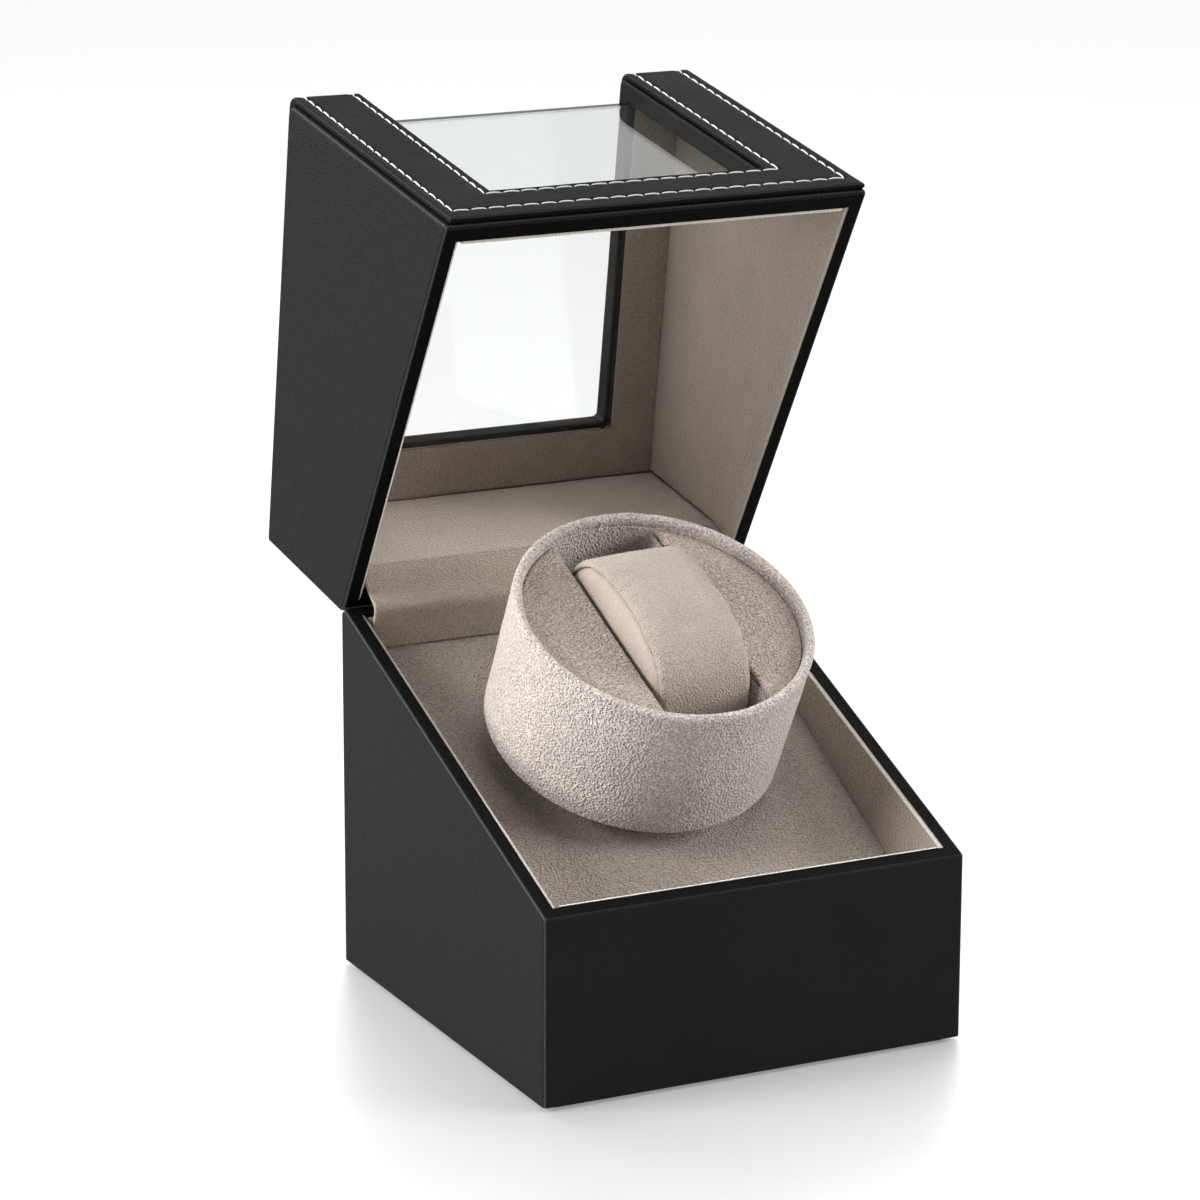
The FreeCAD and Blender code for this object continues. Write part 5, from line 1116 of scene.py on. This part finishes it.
def oval(inset):
    """Two end arcs joined by two long flat arcs, drawn in by an inset, as (y, z) about the middle."""
    half_length, half_height, end = (pillow_length / 2 - inset, pillow_height / 2 - inset, pillow_end - inset)
    reach = half_length - end
    long_arc = (reach ** 2 + half_height ** 2 - end ** 2) / (2 * (half_height - end))
    drop = half_height - long_arc
    lean = math.atan2(-drop, reach)
    points = []
    for index in range(oval_points):
        angle = 2 * math.pi * index / oval_points
        toward = Vector((math.cos(angle), math.sin(angle)))
        best = None
        for centre, radius in ((Vector((math.copysign(reach, toward.x), 0)), end),
                               (Vector((0, math.copysign(drop, -toward.y))), long_arc)):
            along = centre.dot(toward)
            root = along * along - centre.length_squared + radius * radius
            if root < 0:
                continue
            spot = (along + math.sqrt(root)) * toward
            bearing = math.atan2(abs(spot.y - centre.y), abs(spot.x - centre.x))
            is_end = radius == end
            if (is_end and bearing <= lean + 1e-6) or (not is_end and bearing >= lean - 1e-6):
                best = spot
        points.append(best)
    return points


print("pillow: %.1f long and %.1f mm high" % (2 * oval(0)[0].x, 2 * oval(0)[oval_points // 4].y))

# %% The pillow's first form
pillow_half, swell = 14.0, 0.35
groove_x, groove_inset = 11.4, 2.4
band = [(-groove_x, 0.22), (-9.6, 0.2), (-7.2, 0.15), (-4.8, 0.1), (-2.4, 0.03), (0.0, 0.0)]
band += [(-x, inset) for x, inset in reversed(band[:-1])]
shoulder = [(12.4, 0.3), (12.9, 0.55), (13.3, 0.95), (13.45, 1.4), (13.3, 1.85), (12.7, 2.2),
            (groove_x, groove_inset), (12.6, 2.6), (13.1, 3.05), (13.4, 3.8), (13.6, 5.0), (13.75, 6.7),
            (13.85, 9.0), (13.95, 12.0), (13.95, 15.0)]
form = bmesh.new()
rings = []
for x, inset in [(-x, inset) for x, inset in reversed(shoulder)] + band + shoulder:
    across = x * (1 - swell / pillow_half)
    rings.append([form.verts.new(Vector((across, y, z))) for y, z in oval(inset + swell)])
# The cloth's springs follow the order in which edges are made, and here it runs along each ring first.
for ring, after in zip(rings, rings[1:]):
    for index in range(len(ring)):
        following = (index + 1) % len(ring)
        form.faces.new([ring[index], ring[following], after[following], after[index]])
for ring in (rings[0], rings[-1]):
    middle = form.verts.new(sum((vertex.co for vertex in ring), Vector()) / len(ring))
    for index in range(len(ring)):
        form.faces.new([ring[index], ring[(index + 1) % len(ring)], middle])
mesh = closed_mesh(form, "watch_pillow")
print("pillow form:", len(mesh.vertices), "points")

# %% Inflate it
def inflated(mesh, scale, pressure, steps, cap):
    """Let cloth swell the mesh, and move each point by no more than the cap, in the mesh's own units."""
    start = np.array([vertex.co for vertex in mesh.vertices])
    probe = bpy.data.objects.new("inflating", mesh.copy())
    bpy.context.scene.collection.objects.link(probe)
    probe.data.transform(Matrix.Scale(scale, 4))
    cloth = probe.modifiers.new("cloth", "CLOTH")
    cloth.settings.use_pressure = True
    cloth.settings.uniform_pressure_force = pressure
    cloth.settings.effector_weights.gravity = 0
    cloth.settings.tension_stiffness = 12
    cloth.settings.bending_stiffness = 2
    cloth.settings.mass = 0.3
    cloth.point_cache.frame_end = steps + 1
    for step in range(1, steps + 1):
        bpy.context.scene.frame_set(step)
    moved = probe.evaluated_get(bpy.context.evaluated_depsgraph_get()).to_mesh()
    end = np.array([vertex.co for vertex in moved.vertices]) / scale
    bpy.data.objects.remove(probe)
    bpy.context.scene.frame_set(1)
    shift = end - start
    length = np.linalg.norm(shift, axis=1, keepdims=True)
    return start + shift * np.minimum(1, cap / np.maximum(length, 1e-9))


swollen = np.array([vertex.co for vertex in mesh.vertices])
swollen = inflated(mesh, scale=0.01, pressure=5.0, steps=18, cap=0.45)
widest = slot_half - 0.5
too_wide = np.abs(swollen[:, 0]) > widest
swollen[too_wide, 0] = np.sign(swollen[too_wide, 0]) * widest
print("inflated to %.1f mm wide" % np.ptp(swollen[:, 0]))

# %% Set it in the slot, and tell its cheeks from its band
for vertex, spot in zip(mesh.vertices, swollen):
    spot = Vector(spot) + vertex.normal * waviness(spot, 8, 0.22)
    vertex.co = ON_DRUM @ ((spot + Vector((0, 0, pillow_middle))) * MM)
pillow = new_piece("watch_pillow", mesh, [band_suede, cheek_suede], "pillow", "suede_pillow",
                   "pillow_core", "pillow_band", "pillow_cheeks")
cheek_outline = [spot.length for spot in oval(groove_inset)]
cheeks_from = 12.2
for face in mesh.polygons:
    spot = sum((Vector(swollen[i]) for i in face.vertices), Vector()) / len(face.vertices)
    angle = math.atan2(spot.z, spot.y) % (2 * math.pi)
    reach = cheek_outline[round(angle / (2 * math.pi) * oval_points) % oval_points]
    face.material_index = int(abs(spot.x) > cheeks_from and math.hypot(spot.y, spot.z) < reach)
print("cheeks:", sum(face.material_index for face in mesh.polygons), "of", len(mesh.polygons), "faces")

# %% [markdown]
# ## White marks on the controls
#
# At the rear a scale of ticks runs round the mode knob, and the rocker has a stroke for on and a ring
# for off. They are pad-printed on the real thing, as thin as paint. A printed mark can be a flat shape
# laid over the plastic: each point is sent towards the surface by a ray, and stops where it lands.

# %% Printed marks
def ring_piece(centre, low, high, begin, end, parts):
    """Corner loops (x, z) of the cells of a flat arc, from one angle to another."""
    def at(radius, index):
        angle = begin + (end - begin) * index / parts
        return centre[0] + radius * math.sin(angle), centre[1] + radius * math.cos(angle)

    return [[at(low, i), at(high, i), at(high, i + 1), at(low, i + 1)] for i in range(parts)]


def printed(name, cells, surface, body, paint=0.04):
    """Marks given as loops of (x, z), laid on a surface that looks to the rear."""
    form = bmesh.new()
    for cell in cells:
        skins = []
        for lift in (paint, -paint):
            skin = []
            for x, z in cell:
                landed, spot, _, _ = surface.ray_cast(Vector((x, behind_box, z)) * MM, Vector((0, -1, 0)))
                assert landed, "a mark misses its surface"
                skin.append(form.verts.new(spot + Vector((0, lift * MM, 0))))
            skins.append(skin)
        form.faces.new(skins[0])
        form.faces.new(skins[1][::-1])
        joined_rings(form, skins)
    mesh = closed_mesh(form, name, smooth=False)
    return new_piece(name, mesh, white_print, body, "plastic_white")


white_print = plastic("white print", (0.74, 0.74, 0.72), 0.6)
behind_box = 90.0
knob_spot, rocker_x = (-14.0, 26.0), 1.5
ticks = []
for index in range(9):
    turn = math.radians(-135 + 270 * index / 8)
    reach = 9.8 if index in (0, 4, 8) else 9.1
    ticks += ring_piece(knob_spot, 7.9, reach, turn - 0.032, turn + 0.032, 1)
printed("knob_scale", ticks, nodes["control_panel"], "base")
stroke_half, stroke_part = 0.25, 0.5
stroke = []
for z in (28.2, 28.7, 29.2, 29.7):
    low, high = (rocker_x - stroke_half, z), (rocker_x + stroke_half, z + stroke_part)
    stroke.append([low, (high[0], low[1]), high, (low[0], high[1])])
circle = ring_piece((rocker_x, 23.0), 0.75, 1.2, 0.0, 2 * math.pi, 20)
printed("rocker_marks", stroke + circle, nodes["power_rocker"], "rocker")
print(len(ticks), "ticks, one stroke and one ring")

# %% [markdown]
# ## Floor, backdrop and light
#
# The box stands on a glossy white table in a white studio. The sky is white where the camera, a mirror
# or a pane looks at it, and a plain grey where it only lights things, so the background stays white
# without flooding the object. The table works the same way: looked at, it is part mirror, which shows
# the box's foot softly, with a little brightness of its own, and to all other rays it is a plain matt
# grey. The light path tells the two apart. Four large soft lamps shape the box: a strong one from the
# left, weaker ones from above and from the right, and a faint one behind.

# %% World and floor
def seen_by(owner, *rays):
    """1 where a ray of one of these kinds arrives, else 0. The graph helpers take a world too."""
    path = add(owner, "ShaderNodeLightPath")
    seen = path.outputs["Is %s Ray" % rays[0]]
    for ray in rays[1:]:
        seen = greater(owner, seen, path.outputs["Is %s Ray" % ray])
    return seen


def switched(owner, switch, off, on):
    return add(owner, "ShaderNodeMapRange", {"Value": switch}, To_Min=off, To_Max=on).outputs[0]


world = bpy.data.worlds.new("studio")
bpy.context.scene.world = world
world.use_nodes = True
sky = world.node_tree.nodes["Background"]
sky.inputs["Color"].default_value = (1, 1, 1, 1)
strength = switched(world, seen_by(world, "Camera", "Glossy", "Transmission"), 0.26, 1.0)
world.node_tree.links.new(strength, sky.inputs["Strength"])

table, top = finish("white table", (0.8, 0.8, 0.8), 0.42)
top.inputs["Emission Color"].default_value = (1, 1, 1, 1)
looked_at = seen_by(table, "Camera", "Transmission")
for name, off, on in (("Base Color", 0.45, 0.8), ("Metallic", 0.0, 0.70),
                      ("Specular IOR Level", 0.0, 1.0), ("Emission Strength", 0.0, 0.23)):
    into_shader(table, switched(table, looked_at, off, on), name)

floor_half = 6
floor_mesh = bpy.data.meshes.new("floor")
floor_mesh.from_pydata([(x * floor_half, y * floor_half, 0) for x, y in ((-1, -1), (1, -1), (1, 1), (-1, 1))],
                       [], [(0, 1, 2, 3)])
floor_mesh.materials.append(table)
floor = bpy.data.objects.new("floor", floor_mesh)
bpy.context.scene.collection.objects.link(floor)
print("floor", 2 * floor_half, "m across")

# %% Lamps
box_middle = Vector((0, 0, 0.11))


def soft_lamp(name, place, size, power):
    """A square lamp that looks at the middle of the box."""
    lamp = bpy.data.objects.new(name, bpy.data.lights.new(name, "AREA"))
    lamp.data.size = size
    lamp.data.energy = power
    lamp.location = place
    lamp.rotation_euler = (box_middle - Vector(place)).to_track_quat("-Z", "Y").to_euler()
    bpy.context.scene.collection.objects.link(lamp)


for name, place, size, power in (("left softbox", (-1.15, 0.15, 0.50), 0.7, 25.0),
                                 ("overhead softbox", (0.20, 0.00, 1.25), 0.9, 9.5),
                                 ("right softbox", (1.03, -0.66, 0.50), 0.6, 14.0),
                                 ("rear softbox", (-0.45, 1.20, 0.60), 0.7, 6.0)):
    soft_lamp(name, place, size, power)
    print(name, power, "W")
